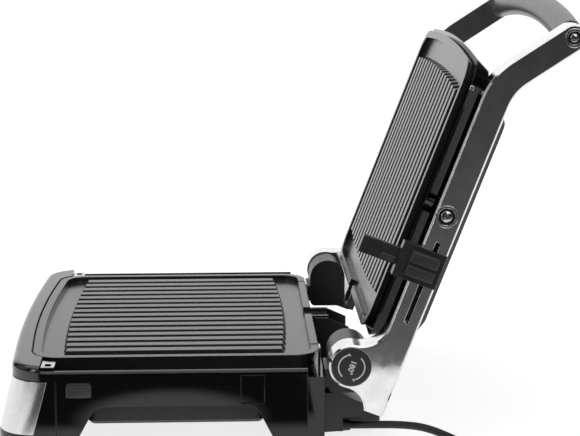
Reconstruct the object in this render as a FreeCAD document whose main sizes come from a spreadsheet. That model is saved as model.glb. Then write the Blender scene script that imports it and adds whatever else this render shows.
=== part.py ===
import FreeCAD
import Part
import Sketcher
import math
import os
from types import SimpleNamespace

# An electric contact grill. A base holds a ribbed plate, and a lid holds its twin on two arms that
# fold right back. Everything is drawn about the hinge axis: x across, y to the back and z up, in mm.
# Arms and lid are drawn shut, u running from the hinge to the front and v up, and are turned open last.

SIZES = (
    ("hub_height", 80.0, "hinge axis above the table"),
    ("hub_back", 53.0, "hinge axis behind the middle of the grill"),
    ("open_angle", 111.0, "how far the lid stands open"),
    ("clearance", 0.3, "gap between pieces that move on each other"),
    ("running_fit", 0.05, "radial play of a pin in its bore"),
    ("plate_side_gap", 29.0, "side of a plate from the side of the base"),
    ("plate_length", 237.0, "length of a plate at its sides"),
    ("plate_bulge", 10.0, "how far the plates' front edge is drawn out at its middle"),
    ("plate_rear", 23.0, "rear edge of the plates, ahead of the hinge"),
    ("plate_corner", 22.0, "corner radius of the plates"),
    ("plate_height", 13.0, "height of a plate's side wall"),
    ("plate_taper", 4.0, "how far the side wall leans in"),
    ("plate_rim", 6.5, "width of the rim round the ribs"),
    ("plate_recess", 5.0, "depth of the cooking face below the rim"),
    ("plate_floor", 4.0, "thickness of the plate under its ribs"),
    ("plate_skirt", 4.0, "thickness of the plate's side wall"),
    ("plate_gap", 4.3, "gap between the two rims when shut"),
    ("rim_drop", 0.3, "lower rim below the hinge axis"),
    ("rib_count", 16, "ribs on a plate"),
    ("rib_margin", 23.75, "outermost rib from the side of the plate"),
    ("rib_foot", 12.0, "width of a rib at its foot"),
    ("rib_crown", 9.0, "width of a rib at its top"),
    ("rib_slope", 3.0, "lean of a rib's two ends"),
    ("rib_front_gap", 23.0, "front end of the outermost ribs from the plate's front corners"),
    ("rib_rear_gap", 28.0, "rear end of the outermost ribs from the plate's rear edge"),
    ("rib_bulge", 4.5, "extra length of the middle ribs at each end"),
    ("spout_width", 30.0, "width of the drain spout"),
    ("spout_reach", 15.0, "lip of the spout behind the plate"),
    ("spout_depth", 8.0, "height of the spout"),
    ("spout_wall", 3.0, "wall of the spout"),
    ("slot_inset", 33.0, "locating slots in the rear rim, from the side of the plate"),
    ("slot_width", 3.0, "width of a locating slot"),
    ("base_half_width", 175.0, "half the width of the base"),
    ("trim_width", 13.0, "front corners of the base at its top, ahead of the plate"),
    ("base_bulge", 10.0, "how far the base's front is drawn out at its middle"),
    ("base_flare", 14.0, "how far the front leans out at its foot"),
    ("rear_margin", 3.0, "rear wall of the base behind the plate"),
    ("base_top", 4.5, "top of the side walls below the hinge axis"),
    ("leg_drop", 17.0, "soles of the legs below the housing"),
    ("base_corner", 30.0, "radius of the base's front corners"),
    ("base_rear_corner", 5.0, "radius of the base's rear corners"),
    ("base_round", 3.5, "rounding of the side walls' upper edge"),
    ("base_wall", 3.0, "wall of the base"),
    ("base_rim_wall", 5.0, "thickness of the side walls above the deck"),
    ("deck_gap", 1.7, "deck below the foot of the plate"),
    ("foot_height", 3.0, "height of the rubber feet"),
    ("arch_drop", 34.0, "top of the side arches below the hinge axis"),
    ("front_leg", 66.0, "front end of the side arches, behind the front corners"),
    ("rear_leg", 57.0, "rear end of the side arches, ahead of the rear wall"),
    ("arch_front_lean", 26.0, "lean of the front legs' inner edge"),
    ("arch_rear_lean", 24.0, "lean of the rear legs' inner edge"),
    ("arch_radius", 14.0, "rounding of the arches"),
    ("leg_width", 63.0, "width of a leg, from the front or back"),
    ("relief_gap", 1.5, "base from the inner face of the arms"),
    ("relief_length", 14.5, "step in the base for the arms, ahead of its rear wall"),
    ("seam_width", 0.8, "width and depth of the seam behind the front legs' corners"),
    ("trim_drop", 12.0, "foot of the front trim below the hinge axis"),
    ("trim_return", 21.0, "ends of the front trim behind the front corners"),
    ("catch_length", 11.0, "length of the front plate catches"),
    ("catch_width", 20.0, "width of the front plate catches"),
    ("trim_gap", 1.5, "gap between trim and plate"),
    ("trim_round", 5.0, "rounding of the trim's upper edge"),
    ("panel_gap", 1.0, "front panel below the trim"),
    ("panel_lift", 3.0, "foot of the front panel above the foot of the housing"),
    ("panel_sheet", 1.2, "thickness of the front panel"),
    ("panel_wrap", 27.0, "side edges of the panel at its top, behind the front corners"),
    ("panel_side_lean", 12.0, "lean of the panel's side edges"),
    ("notch_length", 19.0, "length of the finger recess in the side wall"),
    ("notch_shift", 7.0, "rear of the finger recess behind the end of the arch"),
    ("notch_top", 9.0, "top of the finger recess below the hinge axis"),
    ("notch_lift", 1.5, "foot of the finger recess above the arch"),
    ("notch_depth", 1.8, "depth of the finger recess"),
    ("boss_radius", 5.0, "screw bosses in the base"),
    ("boss_inset", 25.0, "screw bosses from the side of the base"),
    ("boss_shift", 17.0, "screw bosses from the ends of the arch"),
    ("cover_depth", 18.0, "underside of the bottom cover below the arch"),
    ("cover_sheet", 2.5, "wall of the bottom cover"),
    ("cover_inset", 10.0, "side of the bottom cover from the side of the base"),
    ("cover_tuck", 8.0, "ends of the bottom cover past the ends of the arch"),
    ("cover_bevel", 3.0, "bevel along the foot of the bottom cover"),
    ("screw_radius", 3.6, "screw heads"),
    ("screw_head", 2.2, "height of a screw head"),
    ("foot_radius", 9.0, "rubber feet"),
    ("foot_inset", 29.0, "rubber feet from the sides of the base"),
    ("foot_setback", 15.0, "front feet behind the front corners"),
    ("foot_advance", 18.0, "rear feet ahead of the rear wall"),
    ("tray_sheet", 1.4, "sheet of the heat trays"),
    ("tray_inset", 12.0, "wall of a heat tray, inside the plate's edge"),
    ("tray_front_inset", 32.0, "front wall of a heat tray, inside the plate's edge"),
    ("tray_flange", 4.5, "edge of a heat tray's flange, inside the plate's edge"),
    ("tray_depth", 12.5, "depth of a heat tray below the deck"),
    ("ridge_width", 6.0, "width of the ridges that carry a heater"),
    ("heater_radius", 3.3, "heater tube"),
    ("heater_sink", 4.0, "heater tube below the deck"),
    ("heater_inset", 51.0, "long runs of the heater from the sides of the plate"),
    ("heater_front_gap", 45.0, "front run of the heater behind the plate's front corners"),
    ("heater_rear_gap", 47.0, "rear run of the heater ahead of the plate's rear edge"),
    ("heater_end_gap", 17.0, "ends of the heater ahead of the plate's rear edge"),
    ("heater_tail", 25.0, "ends of the heater from the middle"),
    ("heater_bend", 20.0, "bends of the heater"),
    ("button_gap", 21.5, "front of the plate release button behind the trim"),
    ("button_length", 20.5, "length of the plate release button"),
    ("button_height", 12.3, "height of the plate release button"),
    ("button_drop", 13.5, "top of the plate release button below the hinge axis"),
    ("button_proud", 1.5, "how far the release buttons stand out"),
    ("button_travel", 2.5, "travel of the release buttons"),
    ("button_corner", 3.0, "corner radius of the release buttons"),
    ("button_flange", 2.0, "flange that keeps a release button in"),
    ("pin_radius", 7.0, "hinge pins"),
    ("bracket_step", 1.2, "hinge barrels inside the round of the arms"),
    ("bracket_gap", 1.0, "hinge barrels from the arms"),
    ("bracket_width", 34.0, "width of the hinge barrels"),
    ("bracket_drop", 28.5, "foot of the hinge barrels below the hinge axis"),
    ("bracket_round", 5.0, "rounding of the hinge barrels' feet"),
    ("arm_setback", 13.0, "inner face of the arms, inside the side of the base"),
    ("arm_width", 22.0, "width of the arms"),
    ("arm_edge", 1.5, "bevel of the arms' outer edges"),
    ("arm_front_edge", 16.2, "lower edge of the arms above the hinge axis"),
    ("arm_depth", 22.8, "height of the arms' straight run"),
    ("hub_radius", 18.2, "round of the arms at the hinge"),
    ("hub_blend", 22.4, "hollow between hub and lower edge"),
    ("boot_end", 31.0, "heel of the arms behind the hinge"),
    ("boot_blend", 19.0, "hollow between hub and heel"),
    ("boot_round", 3.0, "rounding of the heel"),
    ("grip_reach", 48.5, "handle bolts ahead of the plate's front corners"),
    ("grip_lift", 27.4, "handle bolts above the arms' straight run"),
    ("arm_rise", 36.0, "rise of the arms' ends"),
    ("arm_end_radius", 11.0, "round of the arms' ends"),
    ("bend_outer", 60.0, "bend of the arms' lower edge"),
    ("bend_inner", 38.0, "bend of the arms' upper edge"),
    ("pivot_lift", 9.8, "lid pivot above the arms' lower edge"),
    ("pivot_radius", 4.0, "lid pivot bolts"),
    ("pivot_head", 6.5, "heads of the pivot bolts"),
    ("pivot_recess", 9.0, "recess round a pivot bolt's head"),
    ("recess_depth", 3.0, "depth of the bolt recesses"),
    ("grip_bolt_radius", 3.0, "handle bolts"),
    ("grip_bolt_head", 5.4, "heads of the handle bolts"),
    ("grip_recess", 7.4, "recess round a handle bolt's head"),
    ("grip_bow", 12.0, "bow of the handle"),
    ("grip_thick", 12.0, "half thickness of the handle along the arm"),
    ("grip_deep", 10.4, "half thickness of the handle across the arm"),
    ("hub_wall", 2.35, "wall of the arm round the hinge button"),
    ("hub_button_proud", 1.2, "how far the hinge button stands out"),
    ("hub_button_height", 9.0, "height of the hinge button"),
    ("hub_button_travel", 3.0, "travel of the hinge button"),
    ("slide_slot_width", 4.0, "slot for the height slide"),
    ("slide_slot_gap", 23.5, "front end of the slot from the lid pivot"),
    ("slide_slot_spare", 2.3, "slot left behind the slide at the end of its travel"),
    ("slide_slot_depth", 7.0, "depth of the slot"),
    ("slide_length", 29.0, "length of the height slide"),
    ("slide_front_gap", 6.0, "front of the height slide from the slot's end"),
    ("slide_hang", 14.7, "height slide below the arm's lower edge"),
    ("slide_drop", 1.0, "top of the height slide below the arm's upper edge"),
    ("slide_proud", 6.0, "how far the height slide stands out"),
    ("slide_travel", 30.0, "travel of the height slide"),
    ("finger_shift", 8.0, "hinge side of the slide's finger from the slide's end"),
    ("finger_width", 14.0, "width of the slide's finger"),
    ("finger_length", 31.5, "length of the slide's finger"),
    ("finger_inset", 1.0, "outer face of the finger inside the arm's face"),
    ("finger_thick", 6.0, "thickness of the finger"),
    ("lid_margin", 10.0, "sides of the lid outside the plate"),
    ("lid_lip", 3.0, "front corners of the lid ahead of the plate"),
    ("lid_bulge", 10.0, "how far the lid's front is drawn out at its middle"),
    ("lid_reach", 1.0, "rear of the lid behind the plate"),
    ("lid_corner", 24.0, "radius of the lid's front corners"),
    ("lid_rear_corner", 8.0, "radius of the lid's rear corners"),
    ("lid_skirt", 9.5, "lower edge of the lid above the hinge axis"),
    ("lid_gap", 1.0, "gap between lid and plate"),
    ("lid_lean", 5.5, "how far the lid frame leans in"),
    ("lid_wall", 3.5, "wall of the lid"),
    ("lid_top", 51.0, "back of the lid above the hinge axis"),
    ("lid_step", 1.5, "cover set in from the top of the lid frame"),
    ("lid_slope", 23.0, "how far the cover's front slopes back"),
    ("lid_draft", 1.5, "how far the cover's sides lean in"),
    ("lid_bevel", 8.0, "width of the bevel round the cover's back"),
    ("lid_bevel_height", 6.0, "height of the bevel round the cover's back"),
    ("lug_width", 9.0, "lugs in the lid that carry its pivots"),
    ("bush_radius", 8.0, "spacers between lid and arms"),
    ("bin_gap", 9.0, "drip tray from the hinge barrels"),
    ("bin_rear", 30.0, "rear of the drip tray behind the hinge"),
    ("bin_lift", 2.0, "rim of the drip tray above the foot of the housing"),
    ("bin_depth", 12.0, "height of the drip tray"),
    ("bin_wall", 2.0, "wall of the drip tray"),
    ("shelf_sheet", 2.5, "shelf under the drip tray"),
    ("chute_gap", 3.0, "inside of the drain chute from the spout"),
    ("chute_wall", 2.0, "wall of the drain chute"),
    ("chute_drop", 2.4, "top of the drain chute below the hinge axis"),
    ("chute_end", 10.0, "rear of the drain chute behind the hinge"),
    ("chute_slope", 8.6, "fall of the drain chute's upper edge"),
    ("chute_rear", 24.0, "rear wall of the drain chute below the hinge axis"),
    ("chute_lift", 4.0, "foot of the drain chute above the drip tray"),
    ("guard_width", 30.0, "guard over the lead"),
    ("guard_end", 12.5, "rear of the guard behind the hinge"),
    ("guard_fall", 9.5, "fall of the guard's roof"),
    ("guard_foot", 62.0, "foot of the guard below the hinge axis"),
    ("guard_mouth", 12.0, "height of the mouth in the guard's side"),
    ("knob_margin", 6.0, "edge of the thermostat dial from the edges of the panel"),
    ("knob_height", 10.0, "height of the thermostat dial"),
    ("knob_proud", 1.5, "how far the dial stands out of the panel"),
    ("spindle_radius", 3.0, "thermostat spindle"),
    ("spindle_length", 6.0, "how far the spindle reaches into the dial"),
    ("switch_depth", 12.0, "depth of the switch behind the dial"),
    ("lamp_radius", 3.5, "indicator lamps"),
    ("lamp_offset", 40.0, "indicator lamps from the middle"),
    ("latch_sheet", 1.5, "sheet of the plate catches"),
    ("cord_diameter", 6.5, "mains lead"),
    ("bush_length", 22.0, "strain relief behind the base"),
    ("bush_neck", 6.0, "radius of the strain relief at the wall"),
    ("bush_tip", 4.4, "radius of the strain relief at its end"),
    ("coil_radius", 43.0, "outer turn of the coiled lead"),
    ("coil_pitch", 7.4, "spacing of the coil's turns and layers"),
    ("coil_turns", 3.25, "turns of the coiled lead"),
    ("plug_length", 42.0, "mains plug"),
    ("plug_rim", 30.0, "where the plug reaches its full width"),
    ("plug_radius", 18.5, "face of the plug"),
    ("plug_tail", 7.0, "tail of the plug"),
    ("plug_pin_radius", 2.4, "pins of the plug"),
    ("plug_pin_length", 19.0, "length of the plug's pins"),
    ("plug_pin_half", 9.5, "pins of the plug from its middle"),
    ("tie_width", 9.0, "band round the coil"),
    ("tie_sheet", 1.2, "thickness of the band"),
)

doc = FreeCAD.newDocument("ContactGrill")
sheet = doc.addObject("Spreadsheet::Sheet", "Sizes")
for row, (alias, number, meaning) in enumerate(SIZES, start=1):
    sheet.set(f"A{row}", meaning)
    sheet.set(f"B{row}", str(number))
    sheet.setAlias(f"B{row}", alias)
doc.recompute()


class Dim:
    """A size: its number, and the expression on the sheet that gives it."""

    def __init__(self, number, text):
        self.number = float(number)
        self.text = text

    def __float__(self):
        return self.number

    def joined(self, sign, other, number):
        text = other.text if isinstance(other, Dim) else repr(float(other))
        return Dim(number, f"({self.text} {sign} {text})")

    def __add__(self, other):
        return self.joined("+", other, self.number + float(other))

    def __sub__(self, other):
        return self.joined("-", other, self.number - float(other))

    def __mul__(self, other):
        return self.joined("*", other, self.number * float(other))

    def __truediv__(self, other):
        return self.joined("/", other, self.number / float(other))

    def __neg__(self):
        return self * -1


D = SimpleNamespace(**{alias: Dim(getattr(sheet, alias), f"Sizes.{alias}") for alias, _, _ in SIZES})
S = SimpleNamespace(**{alias: float(getattr(sheet, alias)) for alias, _, _ in SIZES})


def follow(alias, dim):
    """Keeps a size that follows from others."""
    setattr(D, alias, dim)
    setattr(S, alias, dim.number)


# Across the grill, from the side of the base inwards
follow("plate_half_width", D.base_half_width - D.plate_side_gap)
follow("slot_offset", D.plate_half_width - D.slot_inset)
follow("rib_pitch", (D.plate_half_width - D.rib_margin) * 2 / (D.rib_count - 1))
follow("heater_half", D.plate_half_width - D.heater_inset)
follow("lid_half_width", D.plate_half_width + D.lid_margin)
follow("leg_gap_half", D.base_half_width - D.leg_width)
follow("boss_half", D.base_half_width - D.boss_inset)
follow("cover_half_width", D.base_half_width - D.cover_inset)
follow("foot_half", D.base_half_width - D.foot_inset)
follow("arm_inner", D.base_half_width - D.arm_setback)
follow("arm_outer", D.arm_inner + D.arm_width)
follow("relief_half", D.arm_inner - D.relief_gap)
follow("bracket_outer", D.arm_inner - D.bracket_gap)
follow("bracket_inner", D.bracket_outer - D.bracket_width)
follow("bin_half_width", D.bracket_inner - D.bin_gap)
follow("finger_outer", D.arm_outer - D.finger_inset)
follow("finger_inner", D.finger_outer - D.finger_thick)

# Along the grill, ahead of the hinge
follow("plate_front", D.plate_rear + D.plate_length)
follow("rib_front", D.plate_front - D.rib_front_gap)
follow("rib_rear", D.plate_rear + D.rib_rear_gap)
follow("spout_end", D.plate_rear - D.spout_reach)
follow("heater_front", D.plate_front - D.heater_front_gap)
follow("heater_rear", D.plate_rear + D.heater_rear_gap)
follow("heater_end", D.plate_rear + D.heater_end_gap)
follow("base_front", D.plate_front + D.trim_width)
follow("base_rear", D.plate_rear - D.rear_margin)
follow("arch_front", D.base_front - D.front_leg)
follow("arch_rear", D.base_rear + D.rear_leg)
follow("relief_start", D.base_rear + D.relief_length)
follow("trim_end", D.base_front - D.trim_return)
follow("panel_side", D.base_front - D.panel_wrap)
follow("notch_rear", D.arch_rear - D.notch_shift)
follow("notch_front", D.notch_rear + D.notch_length)
follow("boss_front", D.arch_front - D.boss_shift)
follow("boss_rear", D.arch_rear + D.boss_shift)
follow("cover_front", D.arch_front + D.cover_tuck)
follow("cover_rear", D.arch_rear - D.cover_tuck)
follow("foot_front", D.base_front - D.foot_setback)
follow("foot_rear", D.base_rear + D.foot_advance)
follow("button_front", D.trim_end - D.button_gap)
follow("pivot_u", (D.plate_front + D.plate_rear) / 2)
follow("slide_slot_end", D.pivot_u - D.slide_slot_gap)
follow("slide_start", D.slide_slot_end - D.slide_front_gap - D.slide_length)
follow("slide_slot_start", D.slide_start - D.slide_travel - D.slide_slot_spare)
follow("finger_start", D.slide_start + D.finger_shift)
follow("grip_u", D.plate_front + D.grip_reach)
follow("lid_front", D.plate_front + D.lid_lip)
follow("lid_rear", D.plate_rear - D.lid_reach)

# Below and above the hinge
follow("sole_drop", D.hub_height - D.foot_height)
follow("base_skirt", D.sole_drop - D.leg_drop)
follow("deck_drop", D.rim_drop + D.plate_height + D.deck_gap)
follow("heater_drop", D.deck_drop + D.heater_sink)
follow("panel_top", D.trim_drop + D.panel_gap)
follow("panel_foot", D.base_skirt - D.panel_lift)
follow("knob_drop", (D.panel_top + D.panel_foot) / 2)
follow("knob_radius", (D.panel_foot - D.panel_top) / 2 - D.knob_margin)
follow("notch_foot", D.arch_drop - D.notch_lift)
follow("cover_drop", D.arch_drop + D.cover_depth)
follow("cover_height", D.cover_depth - D.clearance)
follow("bin_top", D.base_skirt - D.bin_lift)
follow("arm_back_edge", D.arm_front_edge + D.arm_depth)
follow("pivot_v", D.arm_front_edge + D.pivot_lift)
follow("grip_v", D.arm_back_edge + D.grip_lift)
follow("slide_low", D.arm_front_edge - D.slide_hang)
follow("slide_high", D.arm_back_edge - D.slide_drop)
follow("finger_tip", D.finger_length - D.slide_low)
follow("hub_button_radius", D.hub_radius - D.hub_wall)
follow("bracket_radius", D.hub_radius - D.bracket_step)
follow("chute_half", D.spout_width / 2 + D.chute_gap + D.chute_wall)

nodes = []
AXIS_X = FreeCAD.Vector(1, 0, 0)
AXIS_Y = FreeCAD.Vector(0, 1, 0)
AXIS_Z = FreeCAD.Vector(0, 0, 1)
FAR = 1000.0
at_hinge = FreeCAD.Placement(FreeCAD.Vector(0, S.hub_back, S.hub_height), FreeCAD.Rotation())
at_open = FreeCAD.Placement(at_hinge.Base, FreeCAD.Rotation(AXIS_X, -S.open_angle))


def vec(x, y, z):
    return FreeCAD.Vector(float(x), float(y), float(z))


def arm_point(u, v, x=0.0):
    """A point of the shut arm: u ahead of the hinge, v above it."""
    return vec(x, -u, v)


def keep(obj, label, placement):
    """Names an object of the document as a piece of the grill and puts it in its place."""
    obj.Label = label
    obj.Placement = placement
    nodes.append(obj)
    return obj


def add_shape(label, shape, placement):
    """A piece whose outline is worked out here."""
    obj = doc.addObject("Part::Feature", label)
    obj.Shape = shape
    return keep(obj, label, placement)


def rounded_path(corners, closed=True):
    """Lines through (point, radius) corners, each corner rounded by a tangent arc."""
    count = len(corners)
    edges = []
    last = None
    first = None
    for index, (point, radius) in enumerate(corners):
        inner = closed or 0 < index < count - 1
        start = end = point
        arc = None
        if inner and radius > 0:
            back = (corners[index - 1][0] - point).normalize()
            ahead = (corners[(index + 1) % count][0] - point).normalize()
            half_turn = (math.pi - back.getAngle(ahead)) / 2
            reach = radius * math.tan(half_turn)
            start = point + back * reach
            end = point + ahead * reach
            middle = (back + ahead).normalize()
            centre = point + middle * (radius / math.cos(half_turn))
            arc = Part.Arc(start, centre - middle * radius, end).toShape()
        if last is not None and last.distanceToPoint(start) > 1e-6:
            edges.append(Part.LineSegment(last, start).toShape())
        if arc:
            edges.append(arc)
        first = first or start
        last = end
    if closed and last.distanceToPoint(first) > 1e-6:
        edges.append(Part.LineSegment(last, first).toShape())
    return Part.Wire(edges)


def polygon(points):
    return Part.Face(Part.makePolygon(points + points[:1]))


def box(x, y, z):
    """A block between the two ends given for each axis."""
    low = vec(min(x), min(y), min(z))
    return Part.makeBox(max(x) - min(x), max(y) - min(y), max(z) - min(z), low)


def cylinder(radius, start, end):
    start, end = vec(*start), vec(*end)
    return Part.makeCylinder(float(radius), start.distanceToPoint(end), start, end - start)


def side_prism(points, x):
    """A side view outline of (y, z) points carried across from one x to the other."""
    face = polygon([vec(min(x), y, z) for y, z in points])
    return face.extrude(vec(max(x) - min(x), 0, 0))


def both_sides(shape):
    """A shape and its mirror image across the middle of the grill."""
    return [shape, shape.mirror(vec(0, 0, 0), AXIS_X)]


def crown_radius(half, bulge, front_radius):
    """The radius of a front edge that is drawn out in the middle."""
    slope = math.atan2(bulge, half)
    return 0.8 * (half - front_radius) / math.sin(slope)


def plan(half, front, bulge, rear, front_radius, rear_radius, z):
    """The plan of a housing or plate: straight sides and back, and a front drawn out in the middle."""
    corners = [
        (vec(half, -rear, z), rear_radius),
        (vec(-half, -rear, z), rear_radius),
        (vec(-half, -front, z), front_radius),
        (vec(0, -front - bulge, z), crown_radius(half, bulge, front_radius)),
        (vec(half, -front, z), front_radius),
    ]
    return rounded_path(corners)


def upright(wire, height):
    return Part.Face(wire).extrude(vec(0, 0, height))


def tube(path, radius, start, direction):
    """A round tube along a path."""
    ring = Part.Wire(Part.makeCircle(float(radius), start, direction))
    return path.makePipeShell([ring], True, False)


# Cooking plates, heat trays and heaters
rim_z = -S.rim_drop
middle_z = rim_z + S.plate_gap / 2
deck_z = -S.deck_drop


def plate_plan(grow, z, front_inset=0.0):
    return plan(
        S.plate_half_width + grow,
        S.plate_front + grow - front_inset,
        S.plate_bulge,
        S.plate_rear - grow,
        max(S.plate_corner + grow, 1.0),
        max(S.plate_corner + grow, 1.0),
        z,
    )


def plate_form(grow, top, foot):
    """The tapered block of a plate between two levels, or that block drawn out by a gap."""
    plans = []
    for z in (top, foot):
        lean = S.plate_taper * (rim_z - z) / S.plate_height
        plans.append(plate_plan(grow - lean, z))
    return Part.makeLoft(plans, True, True)


def tray_plan(grow, z):
    """The plan of a heat tray's dish."""
    return plate_plan(grow - S.tray_inset, z, S.tray_front_inset - S.tray_inset)


def rib(x):
    """One rib: a bar with leaning sides and ends, longer towards the middle of the plate."""
    span = (S.rib_count - 1) * S.rib_pitch / 2
    extra = S.rib_bulge * (1 - (x / span) ** 2)
    wires = []
    for z, width, lean in (
        (rim_z - S.plate_recess - S.plate_floor / 4, S.rib_foot, 0.0),
        (rim_z, S.rib_crown, S.rib_slope),
    ):
        front = -S.rib_front - extra + lean
        rear = -S.rib_rear + extra - lean
        left, right = x - width / 2, x + width / 2
        ring = [vec(left, front, z), vec(right, front, z), vec(right, rear, z), vec(left, rear, z)]
        wires.append(Part.makePolygon(ring + ring[:1]))
    return Part.makeLoft(wires, True, True)


def cooking_plate():
    """A plate with its face up: tapered wall, rim, ribs, drain spout and locating slots."""
    foot_z = rim_z - S.plate_height
    plate = plate_form(0, rim_z, foot_z)
    plate = plate.cut(upright(plate_plan(-S.plate_rim, rim_z - S.plate_recess), S.plate_recess + 1))
    hollow_top = rim_z - S.plate_recess - S.plate_floor
    hollow = upright(plate_plan(-S.plate_taper - S.plate_skirt, foot_z - 1), hollow_top - foot_z + 1)
    plate = plate.cut(hollow)
    ribs = [rib((n - (S.rib_count - 1) / 2) * S.rib_pitch) for n in range(int(S.rib_count))]
    half = S.spout_width / 2
    reach = S.plate_rear + S.plate_rim + 1
    spout_y = (-S.plate_rear - S.plate_skirt / 2, -S.spout_end)
    spout = box((-half, half), spout_y, (rim_z - 1, rim_z - S.spout_depth))
    plate = plate.multiFuse(ribs + [spout])
    inside = half - S.spout_wall
    gutter = box((-inside, inside), (-reach, -S.spout_end + 1), (rim_z - S.plate_recess, rim_z + 1))
    slots = []
    for side in (-1, 1):
        x = side * S.slot_offset
        y = (-S.plate_rear - S.plate_rim, -S.plate_rear + 1)
        z = (rim_z - 2 * S.slot_width, rim_z + 1)
        slots.append(box((x - S.slot_width / 2, x + S.slot_width / 2), y, z))
    return plate.cut([gutter] + slots).removeSplitter()


def heat_tray():
    """The bright tray under a plate: a flange on the deck, a dish, and two ridges for the heater."""
    top = deck_z + S.tray_sheet
    floor = deck_z - S.tray_depth
    flange = upright(plate_plan(-S.tray_flange, deck_z), S.tray_sheet)
    dish = upright(tray_plan(0, floor), top - floor)
    tray = flange.fuse(dish)
    hollow = upright(tray_plan(-S.tray_sheet, floor + S.tray_sheet), S.tray_depth + 1)
    tray = tray.cut(hollow)
    ridge_top = -S.heater_drop - S.heater_radius - S.clearance
    width = S.ridge_width / 2
    half = S.heater_half + 2 * S.ridge_width
    ridges = []
    for y in (S.heater_front - S.heater_bend - S.ridge_width, S.heater_rear + S.heater_bend + S.ridge_width):
        ridges.append(box((-half, half), (-y - width, -y + width), (floor, ridge_top)))
    return tray.multiFuse(ridges).removeSplitter()


def heater():
    """A bent tubular heater lying on the ridges of its tray."""
    z = -S.heater_drop
    run = [
        (-S.heater_tail, -S.heater_end),
        (-S.heater_tail, -S.heater_rear),
        (-S.heater_half, -S.heater_rear),
        (-S.heater_half, -S.heater_front),
        (S.heater_half, -S.heater_front),
        (S.heater_half, -S.heater_rear),
        (S.heater_tail, -S.heater_rear),
        (S.heater_tail, -S.heater_end),
    ]
    path = rounded_path([(vec(x, y, z), S.heater_bend) for x, y in run], closed=False)
    return tube(path, S.heater_radius, vec(run[0][0], run[0][1], z), -AXIS_Y)


def in_lid(shape):
    """The twin of a lower piece, turned over into the lid."""
    return shape.mirror(vec(0, 0, middle_z), AXIS_Z)


for name, shape in (("plate", cooking_plate()), ("heat_tray", heat_tray()), ("heating_element", heater())):
    add_shape(f"lower_{name}", shape, at_hinge)
    add_shape(f"upper_{name}", in_lid(shape), at_open)


# Base housing
foot_z = -S.base_skirt
sole_z = -S.sole_drop


def base_plan(inset, drop):
    lean = S.base_flare * (drop - S.base_top) / (S.base_skirt - S.base_top)
    return plan(
        S.base_half_width - inset,
        S.base_front + lean - inset,
        S.base_bulge,
        S.base_rear + inset,
        max(S.base_corner - inset, 1.0),
        max(S.base_rear_corner - inset, 1.0),
        -drop,
    )


def housing(inset, top, foot, sole):
    """The outer form of the base, or that form drawn in by a wall, with its legs."""
    body = Part.makeLoft([base_plan(inset, top), base_plan(inset, foot)], True, True)
    return body.fuse(upright(base_plan(inset, foot), foot - sole))


panel_normal = vec(0, -(S.base_skirt - S.base_top), S.base_flare).normalize()
panel_crown = -base_plan(0, S.knob_drop).BoundBox.YMin


def panel_point(x, out):
    """A point ahead of the front panel's face, level with the dial."""
    radius = crown_radius(S.base_half_width, S.base_bulge, S.base_corner)
    sag = radius - math.sqrt(radius**2 - x**2)
    return vec(x, sag - panel_crown, -S.knob_drop) + panel_normal * out


def panel_rod(radius, x, inner, outer):
    """A round rod square to the front panel."""
    return Part.makeCylinder(radius, outer - inner, panel_point(x, inner), panel_normal)


def front_panel():
    """A bent sheet let into the front of the base and round its corners."""
    zone = side_prism(
        [
            (-FAR, -S.panel_top),
            (-S.panel_side, -S.panel_top),
            (-S.panel_side - S.panel_side_lean, -S.panel_foot),
            (-FAR, -S.panel_foot),
        ],
        (-FAR, FAR),
    )
    forms = []
    for inset in (0, S.panel_sheet):
        plans = [base_plan(inset, S.base_top), base_plan(inset, S.base_skirt)]
        forms.append(Part.makeLoft(plans, True, True))
    return forms[0].common(zone).cut(forms[1])


def panel_holes():
    """The holes in the front for the dial and the two lamps."""
    holes = [panel_rod(S.knob_radius + S.clearance, 0, -4 * S.base_wall, S.base_wall)]
    for x in (-S.lamp_offset, S.lamp_offset):
        holes.append(panel_rod(S.lamp_radius, x, -4 * S.base_wall, S.base_wall))
    return holes


def leg_seams():
    """Fine seams down the sides, where the corner of each front leg meets the side wall."""
    y = -S.trim_end + S.catch_length + 2 * S.seam_width
    x = (S.base_half_width - S.seam_width, FAR)
    return both_sides(box(x, (y, y + S.seam_width), (-FAR, -S.trim_drop)))


def underside(grow):
    """The open spaces under the base: an arch from side to side, and gaps between front and rear legs."""
    low = -S.hub_height - 1
    front = -S.arch_front - grow
    rear = -S.arch_rear + grow
    top = -S.arch_drop + grow
    corners = [
        (vec(-FAR, front - S.arch_front_lean, low), 0.0),
        (vec(-FAR, front, top), S.arch_radius + grow),
        (vec(-FAR, rear, top), S.arch_radius + grow),
        (vec(-FAR, rear + S.arch_rear_lean, low), 0.0),
    ]
    arch = Part.Face(rounded_path(corners)).extrude(vec(2 * FAR, 0, 0))
    half = S.leg_gap_half + grow
    front_gap = box((-half, half), (-FAR, front), (-FAR, -S.base_skirt - 2 + grow))
    rear_gap = box((-half, half), (rear, -S.base_rear - S.base_wall), (-FAR, -S.base_skirt - 2 + grow))
    return [arch, front_gap, rear_gap]


def arm_reliefs(grow):
    """The steps at the rear corners that let the arms' heels swing past."""
    return both_sides(box((S.relief_half - grow, FAR), (-S.relief_start - grow, 1), (-FAR, 1)))


def button_block(grow, x):
    """The upright face of the release button in the right side wall, carried along x."""
    y = (-S.button_front - grow, -S.button_front + S.button_length + grow)
    z = (-S.button_drop - S.button_height - grow, -S.button_drop + grow)
    return box(x, y, z)


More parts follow.
